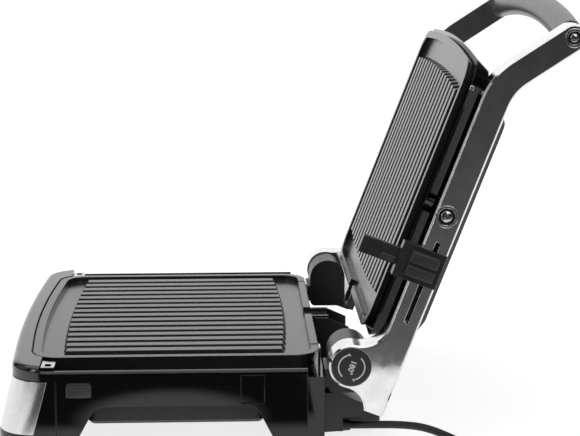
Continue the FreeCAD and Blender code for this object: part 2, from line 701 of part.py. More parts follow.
def base_shell(panel):
    """The base's housing on its four legs, open below, with a deck and a well for the lower plate."""
    shell = housing(0, S.base_top, S.base_skirt, S.sole_drop)
    rim = [edge for edge in shell.Edges if edge.BoundBox.ZMin > -S.base_top - 1e-6]
    shell = shell.makeFillet(S.base_round, rim).cut(arm_reliefs(0))
    sole = S.sole_drop - S.base_wall
    cavity = housing(S.base_wall, S.deck_drop + S.base_wall, S.base_skirt, sole)
    shell = shell.cut(cavity.cut(arm_reliefs(S.base_wall) + underside(S.base_wall)))
    well = upright(base_plan(S.base_rim_wall, S.deck_drop), S.deck_drop + 1)
    over_trim = box((-FAR, FAR), (-FAR, -S.trim_end), (-S.trim_drop, 1))
    over_rear = box((-FAR, FAR), (-S.base_rear - S.base_rim_wall - 1, 1), (deck_z, 1))
    mouth = upright(tray_plan(S.clearance, deck_z - 2 * S.base_wall), 3 * S.base_wall)
    half = S.leg_gap_half
    rear_foot = box((-half, half), (-S.arch_rear, 1), (-FAR, sole_z + S.base_wall))
    hatch = box(
        (-S.cover_half_width - S.clearance, S.cover_half_width + S.clearance),
        (-S.cover_front - S.clearance, -S.cover_rear + S.clearance),
        (-S.cover_drop, deck_z - S.base_wall),
    )
    notch_x = (S.base_half_width - S.notch_depth, FAR)
    notch = box(notch_x, (-S.notch_front, -S.notch_rear), (-S.notch_foot, -S.notch_top))
    button_hole = button_block(S.clearance, (S.base_half_width - 2 * S.base_wall, FAR))
    button_back = S.base_half_width - S.base_wall - S.button_flange - S.button_travel
    button_room = button_block(
        S.button_flange + S.clearance,
        (button_back - 2 * S.clearance, S.base_half_width - S.base_wall),
    )
    bush = cylinder(S.bush_neck, (cord_x, -S.base_rear - 2 * S.base_wall, cord_z), (cord_x, 1, cord_z))
    shell = shell.cut([panel, well, over_trim, over_rear, mouth, hatch, rear_foot] + underside(0))
    shell = shell.cut([notch, button_hole, button_room, bush] + panel_holes() + leg_seams())
    bosses = []
    for x in (-S.boss_half, S.boss_half):
        for y in (-S.boss_front, -S.boss_rear):
            top, foot = deck_z - S.base_wall / 2, -S.cover_drop + S.cover_sheet
            boss = cylinder(S.boss_radius, (x, y, top), (x, y, foot))
            bosses.append(boss.cut(mouth))
    shelf_top = -S.bin_top - S.bin_depth - S.clearance
    shelf = box(
        (-half + S.base_wall, half - S.base_wall),
        (-S.base_rear - S.base_wall / 2, S.bin_rear - 2 * S.bin_wall),
        (shelf_top - S.shelf_sheet, shelf_top),
    )
    return shell.multiFuse(bosses + [shelf]).removeSplitter()


def front_trim():
    """The glossy lip ahead of the plate, round the front corners."""
    bar = upright(base_plan(0, S.trim_drop), S.trim_drop)
    rim = [edge for edge in bar.Edges if edge.BoundBox.ZMin > -1e-6 and edge.BoundBox.YMin < -S.trim_end]
    bar = bar.makeFillet(S.trim_round, rim)
    bar = bar.cut(upright(plate_plan(S.trim_gap, -S.trim_drop - 1), S.trim_drop + 2))
    return bar.common(box((-FAR, FAR), (-FAR, -S.trim_end), (-FAR, FAR)))


# The lead's way out of the back of the base
cord_route = (
    (147.0, 2.0, -61.0),
    (147.0, 23.5, -61.0),
    (143.5, 45.0, -62.5),
    (140.5, 65.5, -66.0),
    (146.0, 85.0, -72.5),
    (160.5, 100.0, -76.4),
    (181.0, 107.0, -76.4),
    (203.0, 108.0, -75.7),
    (225.0, 108.0, -75.2),
)
cord_x, cord_start, cord_z = cord_route[0]

panel = front_panel()
add_shape("base_shell", base_shell(panel), at_hinge)
add_shape("front_panel", panel.cut(panel_holes()), at_hinge)
add_shape("front_trim", front_trim(), at_hinge)


def hinge_bracket():
    """A hinge barrel behind the base: a round head with a rounded foot, on a web to the rear wall."""
    r = S.bracket_radius
    x = S.bracket_inner
    foot = -S.bracket_drop
    sides = [
        (vec(x, -r, 0), 0.0),
        (vec(x, -r, foot), S.bracket_round),
        (vec(x, r, foot), S.bracket_round),
        (vec(x, r, 0), 0.0),
    ]
    edges = rounded_path(sides, closed=False).Edges
    edges.append(Part.Arc(vec(x, r, 0), vec(x, 0, r), vec(x, -r, 0)).toShape())
    block = Part.Face(Part.Wire(edges)).extrude(vec(S.bracket_width, 0, 0))
    web_z = (foot + S.bracket_round, -r / 2)
    block = block.fuse(box((x, S.bracket_outer), (-S.base_rear, 1 - r), web_z)).removeSplitter()
    bore = cylinder(S.pin_radius, (S.bracket_inner + S.base_wall, 0, 0), (FAR, 0, 0))
    return block.cut(bore)


for side, shape in zip(("right", "left"), both_sides(hinge_bracket())):
    add_shape(f"hinge_bracket_{side}", shape, at_hinge)


def drain_chute():
    """The open funnel behind the base that leads the spout's fat down to the drip tray."""
    lip = -S.spout_end - 1
    low = -S.chute_drop - S.chute_slope
    foot = -S.bin_top + S.chute_lift
    rear = S.chute_end
    side = [(-S.base_rear, foot), (-S.base_rear, -S.chute_drop), (lip, -S.chute_drop), (rear, low), (rear, foot)]
    chute = side_prism(side, (-S.chute_half, S.chute_half))
    half = S.chute_half - S.chute_wall
    hollow = box((-half, half), (-S.base_rear + S.chute_wall, rear - S.chute_wall), (-FAR, FAR))
    spout_foot = rim_z - S.spout_depth - S.clearance
    front_gap = box((-half, half), (-FAR, 0), (spout_foot, FAR))
    rear_gap = box((-half, half), (0, FAR), (-S.chute_rear, FAR))
    return chute.cut([hollow, front_gap, rear_gap])


add_shape("drain_chute", drain_chute(), at_hinge)


def cord_guard():
    """A hood behind the base over the start of the lead, open to the wall, below and at one side."""
    outer = S.relief_half
    roof = -S.bracket_drop - S.clearance
    low = roof - S.guard_fall
    end = S.guard_end
    mouth = -S.guard_foot + S.guard_mouth

    def side(wall):
        return [
            (-S.base_rear - wall, -S.guard_foot - wall),
            (-S.base_rear - wall, roof - wall),
            (-S.bracket_radius / 2, roof - wall),
            (end - wall, low - wall),
            (end - wall, -S.guard_foot - wall),
        ]

    hood = side_prism(side(0), (outer - S.guard_width, outer))
    hollow = side_prism(side(S.base_wall), (outer - S.guard_width + S.base_wall, outer - S.base_wall))
    way_out = side_prism(
        [(-S.base_rear / 2, -FAR), (-S.base_rear / 4, mouth), (FAR, mouth), (FAR, -FAR)],
        (outer - S.guard_width + S.base_wall, FAR),
    )
    return hood.cut([hollow, way_out])


add_shape("cord_guard", cord_guard(), at_hinge)


# Pieces with plain outlines, drawn as sketches on a body's own planes
def plane_of(body, role):
    return next(plane for plane in body.Origin.OriginFeatures if plane.Role == role)


def sketch_on(body, name, role, height=None):
    sketch = body.newObject("Sketcher::SketchObject", name)
    sketch.AttachmentSupport = [(plane_of(body, role), "")]
    sketch.MapMode = "FlatFace"
    if height is not None:
        sketch.setExpression("AttachmentOffset.Base.z", height.text)
    return sketch


def pin_point(sketch, kind, geometry, end, dim):
    """Holds a point of a sketch at a signed distance from its origin."""
    if dim.number < 0:
        index = sketch.addConstraint(Sketcher.Constraint(kind, geometry, end, -1, 1, -dim.number))
        dim = -dim
    else:
        index = sketch.addConstraint(Sketcher.Constraint(kind, -1, 1, geometry, end, dim.number))
    sketch.setExpression(f"Constraints[{index}]", dim.text)


def draw_rectangle(sketch, left, right, low, high):
    corners = [(left, low), (right, low), (right, high), (left, high)]
    points = [vec(x, y, 0) for x, y in corners]
    for index in range(4):
        sketch.addGeometry(Part.LineSegment(points[index], points[(index + 1) % 4]), False)
    for index in range(4):
        sketch.addConstraint(Sketcher.Constraint("Coincident", index, 2, (index + 1) % 4, 1))
        direction = "Horizontal" if index % 2 == 0 else "Vertical"
        sketch.addConstraint(Sketcher.Constraint(direction, index))
    pin_point(sketch, "DistanceX", 0, 1, left)
    pin_point(sketch, "DistanceY", 0, 1, low)
    pin_point(sketch, "DistanceX", 1, 2, right)
    pin_point(sketch, "DistanceY", 1, 2, high)


def draw_circle(sketch, radius):
    index = sketch.addGeometry(Part.Circle(vec(0, 0, 0), AXIS_Z, radius.number), False)
    sketch.addConstraint(Sketcher.Constraint("Coincident", index, 3, -1, 1))
    datum = sketch.addConstraint(Sketcher.Constraint("Radius", index, radius.number))
    sketch.setExpression(f"Constraints[{datum}]", radius.text)


def pad(body, sketch, length):
    feature = body.newObject("PartDesign::Pad", f"{sketch.Name}_pad")
    feature.Profile = sketch
    feature.setExpression("Length", length.text)
    sketch.Visibility = False
    return feature


def pocket(body, sketch, depth):
    feature = body.newObject("PartDesign::Pocket", f"{sketch.Name}_pocket")
    feature.Profile = sketch
    feature.setExpression("Length", depth.text)
    sketch.Visibility = False
    return feature


def dress(body, kind, size_name, size, chosen):
    """Rounds or bevels the edges of a body that the test picks."""
    doc.recompute()
    base = body.Tip
    names = [f"Edge{n}" for n, edge in enumerate(base.Shape.Edges, start=1) if chosen(edge)]
    feature = body.newObject(f"PartDesign::{kind}", f"{body.Name}_{kind.lower()}")
    feature.Base = (base, names)
    feature.setExpression(size_name, size.text)
    return feature


def is_upright(edge):
    box_of = edge.BoundBox
    return box_of.ZLength > 1e-3 and box_of.XLength < 1e-6 and box_of.YLength < 1e-6


def pan_body(label, half_width, front, rear, floor, height, wall, corner):
    """An open pan: a padded rectangle, rounded at its corners and pocketed from above."""
    body = doc.addObject("PartDesign::Body", label)
    outline = sketch_on(body, f"{label}_outline", "XY_Plane", floor)
    draw_rectangle(outline, -half_width, half_width, front, rear)
    pad(body, outline, height)
    dress(body, "Fillet", "Radius", corner, is_upright)
    inside = sketch_on(body, f"{label}_inside", "XY_Plane", floor + height)
    draw_rectangle(inside, -half_width + wall, half_width - wall, front + wall, rear - wall)
    pocket(body, inside, height - wall)
    return body


tray_body = pan_body(
    "drip_tray",
    D.bin_half_width,
    -D.base_rear + D.clearance,
    D.bin_rear,
    -D.bin_top - D.bin_depth,
    D.bin_depth,
    D.bin_wall,
    D.bin_wall * 2,
)
keep(tray_body, "drip_tray", at_hinge)
cover_body = pan_body(
    "bottom_cover",
    D.cover_half_width,
    -D.cover_front,
    -D.cover_rear,
    -D.cover_drop,
    D.cover_height,
    D.cover_sheet,
    D.cover_sheet * 3,
)
dress(cover_body, "Chamfer", "Size", D.cover_bevel, lambda e: e.BoundBox.ZMax < -S.cover_drop + 1e-6)
keep(cover_body, "bottom_cover", at_hinge)


def button_body(label, length, height, depth, corner):
    """A moulded push button that faces +x: a cap with round corners on a wider flange."""
    body = doc.addObject("PartDesign::Body", label)
    face = sketch_on(body, f"{label}_face", "XY_Plane")
    draw_rectangle(face, -length / 2, length / 2, -height / 2, height / 2)
    pad(body, face, depth)
    dress(body, "Fillet", "Radius", corner, is_upright)
    flange = sketch_on(body, f"{label}_flange", "XY_Plane")
    grow = D.button_flange
    draw_rectangle(flange, -length / 2 - grow, length / 2 + grow, -height / 2 - grow, height / 2 + grow)
    feature = pad(body, flange, D.button_flange)
    feature.Reversed = True
    doc.recompute()
    return body


facing_right = FreeCAD.Rotation(AXIS_Y, AXIS_Z, AXIS_X)
button_depth = D.base_wall + D.clearance + D.button_proud
lower_button = button_body(
    "lower_release_button", D.button_length, D.button_height, button_depth, D.button_corner
)
button_place = vec(
    S.base_half_width - S.base_wall - S.clearance,
    -S.button_front + S.button_length / 2,
    -S.button_drop - S.button_height / 2,
)
keep(lower_button, "lower_release_button", at_hinge * FreeCAD.Placement(button_place, facing_right))


def disc_body(label, radius, height, edge):
    """A round cap with a bevelled upper edge, standing on its own xy plane."""
    body = doc.addObject("PartDesign::Body", label)
    face = sketch_on(body, f"{label}_face", "XY_Plane")
    draw_circle(face, radius)
    pad(body, face, height)
    dress(body, "Chamfer", "Size", edge, lambda e: e.BoundBox.ZMin > height.number - 1e-6)
    return body


hub_button_foot = S.arm_outer + S.hub_button_proud - S.hub_button_height
for label, turn in (("hinge_button", 90), ("hinge_cap", -90)):
    cap = disc_body(label, D.hub_button_radius, D.hub_button_height, D.hub_button_proud / 2)
    place = FreeCAD.Placement(vec(math.copysign(hub_button_foot, turn), 0, 0), FreeCAD.Rotation(AXIS_Y, turn))
    keep(cap, label, at_open * place)

knob = disc_body("thermostat_knob", D.knob_radius, D.knob_height, D.knob_proud / 2)
facing_front = FreeCAD.Rotation(AXIS_Z, panel_normal)
bore_sketch = sketch_on(knob, "thermostat_knob_bore", "XY_Plane")
draw_circle(bore_sketch, D.spindle_radius + D.running_fit)
bore_cut = pocket(knob, bore_sketch, D.spindle_length)
bore_cut.Reversed = True
knob_foot = S.knob_proud - S.knob_height
knob_place = FreeCAD.Placement(panel_point(0, knob_foot), facing_front)
keep(knob, "thermostat_knob", at_hinge * knob_place)


def round_bar(label, radius, length, place):
    """A plain round bar along its own z, bound to the sheet."""
    bar = doc.addObject("Part::Cylinder", label)
    bar.setExpression("Radius", radius.text)
    bar.setExpression("Height", length.text)
    return keep(bar, label, place)


pin_length = D.arm_outer - D.hub_button_height - D.hub_button_travel - D.bracket_inner - D.base_wall
for side, turn in (("right", 90), ("left", -90)):
    start = math.copysign(S.bracket_inner + S.base_wall, turn)
    place = FreeCAD.Placement(vec(start, 0, 0), FreeCAD.Rotation(AXIS_Y, turn))
    round_bar(f"hinge_pin_{side}", D.pin_radius, pin_length, at_hinge * place)


# Thermostat, lamps, catches, feet and screws of the base
def thermostat():
    """A cup behind the front panel that holds the dial, with the switch and its spindle."""
    floor = knob_foot - S.clearance
    back = floor - S.base_wall
    room = S.knob_radius + S.clearance
    cup = panel_rod(room + S.base_wall / 2, 0, back, -S.base_wall)
    cup = cup.cut(panel_rod(room, 0, floor, 0))
    spindle = panel_rod(S.spindle_radius, 0, floor - 1, knob_foot + S.spindle_length - S.clearance)
    switch = panel_rod(3 * S.spindle_radius, 0, back - S.switch_depth, back + 1)
    return cup.multiFuse([spindle, switch]).removeSplitter()


add_shape("thermostat", thermostat(), at_hinge)
lamps = [
    panel_rod(S.lamp_radius, x, -4 * S.base_wall, S.panel_sheet) for x in (-S.lamp_offset, S.lamp_offset)
]
add_shape("indicator_lamps", Part.makeCompound(lamps), at_hinge)

catch_x = S.plate_half_width + S.trim_gap
catch_y = (-S.trim_end + 2 * S.clearance, -S.trim_end + 2 * S.clearance + S.catch_length)
catch_top = -S.base_top / 2
catch_end = catch_x + S.catch_width
margin = 2 * S.latch_sheet
catch = box((catch_x, catch_end), catch_y, (catch_top - S.latch_sheet, catch_top))
window_x = (catch_x + S.catch_width / 2, catch_end - margin)
catch = catch.cut(box(window_x, (catch_y[0] + margin, catch_y[1] - margin), (-S.base_top, 0)))
leg = box((catch_x, catch_x + S.latch_sheet), catch_y, (deck_z, catch_top))
foot = box((catch_x, catch_x + 4 * margin), catch_y, (deck_z, deck_z + S.latch_sheet))
catch = catch.multiFuse([leg, foot]).removeSplitter()
add_shape("front_plate_catches", Part.makeCompound(both_sides(catch)), at_hinge)
tab_y = -S.plate_rear + S.clearance
tab = box(
    (S.slot_offset - 2 * S.slot_width, S.slot_offset + 2 * S.slot_width),
    (tab_y, tab_y + S.latch_sheet),
    (deck_z, rim_z - S.latch_sheet),
)
add_shape("rear_plate_tabs", Part.makeCompound(both_sides(tab)), at_hinge)

feet = []
for y in (-S.foot_front, -S.foot_rear):
    height = S.hub_height - S.sole_drop
    foot = Part.makeCone(0.9 * S.foot_radius, S.foot_radius, height, vec(S.foot_half, y, -S.hub_height))
    feet += both_sides(foot)
add_shape("rubber_feet", Part.makeCompound(feet), at_hinge)

screws = []
for x in (-S.boss_half, S.boss_half):
    for y in (-S.boss_front, -S.boss_rear):
        screws.append(cylinder(S.screw_radius, (x, y, -S.cover_drop - S.screw_head), (x, y, -S.cover_drop)))
add_shape("base_screws", Part.makeCompound(screws), at_hinge)


# Arms
def arm_outline(x):
    """The arm's side view: hub, lower edge, raised end, upper edge and heel, all rounded into each other."""
    blend_v = S.arm_front_edge - S.hub_blend
    blend_u = math.sqrt((S.hub_radius + S.hub_blend) ** 2 - blend_v**2)
    blend_hub = arm_point(blend_u, blend_v, x)
    hub = arm_point(0, 0, x)
    hub_low = hub + (blend_hub - hub).normalize() * S.hub_radius
    edge_start = arm_point(blend_u, S.arm_front_edge, x)
    heel_reach = S.hub_radius + S.boot_blend
    heel_v = S.boot_blend / 4
    heel_centre = arm_point(-math.sqrt(heel_reach**2 - heel_v**2), heel_v, x)
    hub_heel = hub + (heel_centre - hub).normalize() * S.hub_radius
    heel_gap = heel_centre.y - S.boot_end
    heel_low = arm_point(-S.boot_end, heel_v + math.sqrt(S.boot_blend**2 - heel_gap**2), x)
    rise = math.radians(S.arm_rise)
    bolt = arm_point(S.grip_u, S.grip_v, x)
    along = arm_point(math.cos(rise), math.sin(rise))
    across = arm_point(-math.sin(rise), math.cos(rise))
    low_end = bolt - across * S.arm_end_radius
    high_end = bolt + across * S.arm_end_radius

    def on_edge(end, v):
        return end - along * ((end.z - v) / along.z)

    corners = [
        (edge_start, 0.0),
        (on_edge(low_end, S.arm_front_edge), S.bend_outer),
        (low_end, 0.0),
    ]
    upper = [
        (high_end, 0.0),
        (on_edge(high_end, S.arm_back_edge), S.bend_inner),
        (arm_point(-S.boot_end, S.arm_back_edge, x), S.boot_round),
        (heel_low, 0.0),
    ]
    edges = rounded_path(corners, closed=False).Edges
    edges.append(Part.Arc(low_end, bolt + along * S.arm_end_radius, high_end).toShape())
    edges += rounded_path(upper, closed=False).Edges
    heel_mid = heel_centre + ((heel_low - heel_centre) + (hub_heel - heel_centre)).normalize() * S.boot_blend
    edges.append(Part.Arc(heel_low, heel_mid, hub_heel).toShape())
    hub_mid = hub - (hub_heel + hub_low - hub * 2 + arm_point(0, S.hub_radius)).normalize() * S.hub_radius
    edges.append(Part.Arc(hub_heel, hub_mid, hub_low).toShape())
    blend_mid = blend_hub + ((hub_low - blend_hub) + (edge_start - blend_hub)).normalize() * S.hub_blend
    edges.append(Part.Arc(hub_low, blend_mid, edge_start).toShape())
    return Part.Wire(edges)


def arm():
    """The right arm without its slot: bevelled outer edge, bores and bolt recesses."""
    solid = Part.Face(arm_outline(S.arm_inner)).extrude(vec(S.arm_outer - S.arm_inner, 0, 0))
    outer = [edge for edge in solid.Edges if edge.BoundBox.XMin > S.arm_outer - 1e-6]
    solid = solid.makeChamfer(S.arm_edge, outer)

    def bore(radius, u, v, x):
        return cylinder(radius, (x, -u, v), (FAR, -u, v))

    button_seat = hub_button_foot - S.hub_button_travel
    cuts = [
        bore(S.hub_button_radius + S.clearance / 2, 0, 0, button_seat),
        bore(S.pin_radius + S.running_fit, 0, 0, S.arm_inner - 1),
        bore(S.pivot_radius + S.running_fit, S.pivot_u, S.pivot_v, S.arm_inner - 1),
        bore(S.pivot_recess, S.pivot_u, S.pivot_v, S.arm_outer - S.recess_depth),
        bore(S.grip_bolt_radius, S.grip_u, S.grip_v, S.arm_inner - 1),
        bore(S.grip_recess, S.grip_u, S.grip_v, S.arm_outer - S.recess_depth),
    ]
    return solid.cut(cuts)


slide_v = (S.arm_front_edge + S.arm_back_edge) / 2
plain_arm = arm()
slot_x = (S.arm_outer - S.slide_slot_depth, S.arm_outer + 1)
slot_v = (slide_v - S.slide_slot_width / 2, slide_v + S.slide_slot_width / 2)
slide_slot = box(slot_x, (-S.slide_slot_end, -S.slide_slot_start), slot_v)
for u in (S.slide_slot_start, S.slide_slot_end):
    slot_end = cylinder(S.slide_slot_width / 2, (slot_x[0], -u, slide_v), (slot_x[1], -u, slide_v))
    slide_slot = slide_slot.fuse(slot_end)
add_shape("arm_right", plain_arm.cut(slide_slot), at_open)
add_shape("arm_left", plain_arm.mirror(vec(0, 0, 0), AXIS_X), at_open)


def height_slide():
    """The slide on the right arm: a stepped thumb piece, a tongue in the slot and a hanging finger."""
    face = S.arm_outer + S.clearance
    top = S.arm_outer + S.slide_proud
    mid = (face + top) / 2
    u0 = S.slide_start
    u1 = S.slide_start + S.slide_length
    step = S.slide_length / 7
    pieces = [
        box((face, mid), (-u1, -u0), (S.slide_low, S.slide_high)),
        box((mid - 1, top), (-u1 + step, -u0 - step), (S.slide_low + 2 * step, S.slide_high - step)),
        box((S.finger_inner, mid), (-u1, -u0), (S.slide_low, S.arm_front_edge - 2 * S.clearance)),
        box(
            (S.finger_inner, S.finger_outer),
            (-S.finger_start - S.finger_width, -S.finger_start),
            (-S.finger_tip, S.slide_low + 1),
        ),
        box(
            (S.arm_outer - S.slide_slot_depth + S.clearance, face + 1),
            (-u0 - S.slide_length * 0.75, -u0 - S.slide_length * 0.25),
            (slot_v[0] + S.clearance, slot_v[1] - S.clearance),
        ),
    ]
    return pieces[0].multiFuse(pieces[1:]).removeSplitter()


add_shape("height_slide", height_slide(), at_open)


def handle_grip():
    """The oval handle, bowed away from the hinge and cut off flush with the arms."""
    out = arm_point(1, 0)
    half = S.arm_inner
    bow_radius = (half**2 + S.grip_bow**2) / (2 * S.grip_bow)
    bolt = arm_point(S.grip_u, S.grip_v)
    crown = bolt + out * S.grip_bow
    centre = crown - out * bow_radius
    axis = AXIS_X.cross(out)
    turn = math.degrees(math.asin(half / bow_radius)) * 1.04
    ring = Part.Ellipse(crown + out * S.grip_thick, crown + AXIS_Z * S.grip_deep, crown).toShape()
    section = Part.Face(Part.Wire(ring))
    section.rotate(centre, axis, -turn)
    bar = section.revolve(centre, axis, 2 * turn)
    bar = bar.common(box((-half, half), (-FAR, FAR), (-FAR, FAR)))
    hole = cylinder(S.grip_bolt_radius, (half - 2 * S.grip_thick, bolt.y, bolt.z), (FAR, bolt.y, bolt.z))
    return bar.cut(both_sides(hole))


add_shape("handle_grip", handle_grip(), at_open)


def bolt(radius, head_radius, u, v, inner):
    """A bolt across the right arm, its head sunk in the arm's recess."""
    seat = S.arm_outer - S.recess_depth
    shank = cylinder(radius, (inner, -u, v), (seat + 1, -u, v))
    head = cylinder(head_radius, (seat, -u, v), (seat + 0.8 * S.recess_depth, -u, v))
    rim = [edge for edge in head.Edges if edge.BoundBox.XMin > seat + 0.7 * S.recess_depth]
    return head.makeFillet(0.3 * S.recess_depth, rim).fuse(shank).removeSplitter()


grip_bolt = bolt(S.grip_bolt_radius, S.grip_bolt_head, S.grip_u, S.grip_v, S.arm_inner - 2 * S.grip_thick)
add_shape("handle_bolts", Part.makeCompound(both_sides(grip_bolt)), at_open)
lug_outer = S.lid_half_width - S.lid_lean - S.lid_step - 1.5 * S.lid_wall
lug_inner = lug_outer - S.lug_width
pivot_bolt = bolt(S.pivot_radius, S.pivot_head, S.pivot_u, S.pivot_v, lug_inner)


def pivot_rod(radius, start, end):
    """A round rod on the lid's pivot axis."""
    return cylinder(radius, (start, -S.pivot_u, S.pivot_v), (end, -S.pivot_u, S.pivot_v))


head_seat = S.arm_outer - S.recess_depth
play = pivot_rod(2 * S.pivot_head, head_seat, head_seat + S.clearance)
pivot_bolt = pivot_bolt.cut(play.cut(pivot_rod(S.pivot_radius, 0, FAR)))
add_shape("lid_pivot_bolts", Part.makeCompound(both_sides(pivot_bolt)), at_open)
spacer = pivot_rod(S.bush_radius, lug_outer, S.arm_inner - S.clearance)
spacer = spacer.cut(pivot_rod(S.pivot_radius, 0, FAR))
add_shape("lid_pivot_spacers", Part.makeCompound(both_sides(spacer)), at_open)


# Lid
lid_deck = 2 * middle_z - deck_z
lid_seam = lid_deck + S.lid_wall


def lid_plan(inset, z):
    return plan(
        S.lid_half_width - inset,
        S.lid_front - inset,
        S.lid_bulge,
        S.lid_rear + inset,
        max(S.lid_corner - inset, 1.0),
        max(S.lid_rear_corner - inset, 1.0),
        z,
    )


def lid_frame():
    """The lid's frame: a leaning wall round the plate, a deck for the heat tray, and lugs for the pivots."""
    frame = Part.makeLoft([lid_plan(0, S.lid_skirt), lid_plan(S.lid_lean, lid_seam)], True, True)
    well = in_lid(plate_form(S.lid_gap, rim_z + S.lid_skirt, deck_z))
    mouth = upright(tray_plan(S.clearance, lid_deck - 1), S.lid_wall + 2)
    half = S.spout_width / 2 + S.lid_gap
    spout_top = 2 * middle_z - rim_z + S.spout_depth + S.lid_gap
    spout_gap = box((-half, half), (-S.plate_rear - S.plate_rim, 0), (0, spout_top))
    spacer_room = both_sides(pivot_rod(S.bush_radius + S.clearance, lug_outer, FAR))
    frame = frame.cut([well, mouth, spout_gap] + spacer_room)
    lug = box(
        (lug_inner, lug_outer),
        (-S.pivot_u - S.bush_radius, -S.pivot_u + S.bush_radius),
        (lid_seam - 1, S.pivot_v),
    )
    eye = pivot_rod(S.bush_radius, lug_inner, lug_outer)
    lug = lug.fuse(eye.common(box((0, FAR), (-FAR, 0), (lid_seam - 1, FAR))))
    frame = frame.multiFuse(both_sides(lug))
    return frame.cut(both_sides(pivot_rod(S.pivot_radius, lug_inner - 1, FAR))).removeSplitter()


slope_foot_inset = S.lid_lean + S.lid_step
slope_head_inset = slope_foot_inset + S.lid_draft
shoulder_v = S.lid_top - S.lid_bevel_height


def cover_plan(side, front, rear, wall, v):
    """The plan of the lid's back at one height, set in from the lid's edges, or drawn in by a wall too."""
    return plan(
        S.lid_half_width - side - wall,
        S.lid_front - front - math.sqrt(2) * wall,
        S.lid_bulge,
        S.lid_rear + rear + wall,
        max(S.lid_corner - side - wall, 2.0),
        max(S.lid_rear_corner - wall, 2.0),
        v,
    )


def cover_plans(wall):
    """The plans of the lid's back at its seam, at its shoulder and at its top."""
    foot, head = slope_foot_inset, slope_head_inset
    top = head + S.lid_bevel
    return [
        cover_plan(foot, foot, foot, wall, lid_seam),
        cover_plan(head, head + S.lid_slope, head, wall, shoulder_v),
        cover_plan(top, top + S.lid_slope, top + S.lid_bevel / 2, wall, S.lid_top - wall),
    ]


slope_foot, slope_head = (
    arm_point(-wire.BoundBox.YMin, wire.BoundBox.ZMin) for wire in cover_plans(0)[:2]
)
slope_up = (slope_head - slope_foot).normalize()
slope_out = AXIS_X.cross(slope_up)
upper_seat = (slope_foot + slope_head * 2) * (1 / 3) - slope_out * (S.lid_wall + S.clearance)
upper_place = FreeCAD.Placement(upper_seat, FreeCAD.Rotation(AXIS_X, slope_up, slope_out))


def lid_cover():
    """The lid's hollow back: steep sides, a long slope to the front, a bevel round its level top."""
    outer, inner = (Part.makeLoft(cover_plans(wall), True, True) for wall in (0, S.lid_wall))
    half = S.button_length / 2 + S.clearance
    tall = S.button_height / 4 + S.clearance
    button_hole = box((-half, half), (-tall, tall), (0, 3 * S.lid_wall))
    button_hole = button_hole.transformed(upper_place.toMatrix())
    spacer_holes = both_sides(pivot_rod(S.bush_radius + S.clearance, lug_outer, FAR))
    return outer.cut([inner, button_hole] + spacer_holes)


add_shape("lid_frame", lid_frame(), at_open)
add_shape("lid_cover", lid_cover(), at_open)

button_depth = D.lid_wall + D.clearance + D.button_proud
upper_button = button_body(
    "upper_release_button", D.button_length, D.button_height / 2, button_depth, D.button_corner / 2
)
keep(upper_button, "upper_release_button", at_open * upper_place)


# Mains lead, its coil and its plug
cord_radius = S.cord_diameter / 2
bush_wall = -S.base_rear - S.base_wall


def strain_relief():
    """The tapered sleeve on the lead, held in the rear wall by a flange inside it."""
    def ring(radius, start, end):
        return cylinder(radius, (cord_x, start, cord_z), (cord_x, end, cord_z))

    flange = ring(S.bush_neck + S.base_wall - 1, bush_wall - S.base_wall, bush_wall)
    neck = ring(S.bush_neck, bush_wall - 1, -S.base_rear)
    cone = Part.makeCone(
        S.bush_neck, S.bush_tip, S.bush_length, vec(cord_x, -S.base_rear, cord_z), AXIS_Y
    )
    return flange.multiFuse([neck, cone]).removeSplitter()


add_shape("cord_bush", strain_relief(), at_hinge)


def lead():
    """The free stretch of the lead: straight runs joined by the largest arcs that they leave room for."""
    points = [vec(*point) for point in cord_route]
    points[0] = vec(cord_x, -S.base_rear + S.bush_length, cord_z)
    corners = [(points[0], 0.0)]
    radii = []
    for before, point, after in zip(points, points[1:], points[2:]):
        turn = (point - before).getAngle(after - point)
        shorter = min(before.distanceToPoint(point), point.distanceToPoint(after))
        radii.append(0.45 * shorter / math.tan(turn / 2))
        corners.append((point, radii[-1]))
    corners.append((points[-1], 0.0))
    path = rounded_path(corners, closed=False)
    solid = tube(path, cord_radius, points[0], points[1] - points[0])
    ideal = math.pi * cord_radius**2 * path.Length
    print("lead bend radii", [round(radius, 1) for radius in radii], "length", round(path.Length, 1))
    print("lead volume over section times length", round(solid.Volume / ideal, 4))
    return solid


add_shape("power_cord", lead(), at_hinge)

coil_start = vec(*cord_route[-1])
coil_centre = coil_start + vec(S.cord_diameter, S.coil_radius, 0)


def coil_point(turns):
    """The lead's middle after some turns: in on the lower layer, up as it reverses, out on the upper one."""
    back = S.coil_turns - turns
    radius = S.coil_radius - S.coil_pitch * min(turns, back)
    climb = min(max((turns - S.coil_turns / 2) * 2 + 0.5, 0.0), 1.0)
    rise = S.coil_pitch * (3 - 2 * climb) * climb**2
    angle = 2 * math.pi * turns - math.pi / 2
    return coil_centre + vec(radius * math.cos(angle), radius * math.sin(angle), rise)


def coil_heading(turns):
    step = 0.02
    low = max(turns - step, 0.0)
    high = min(turns + step, S.coil_turns)
    return (coil_point(high) - coil_point(low)).normalize()


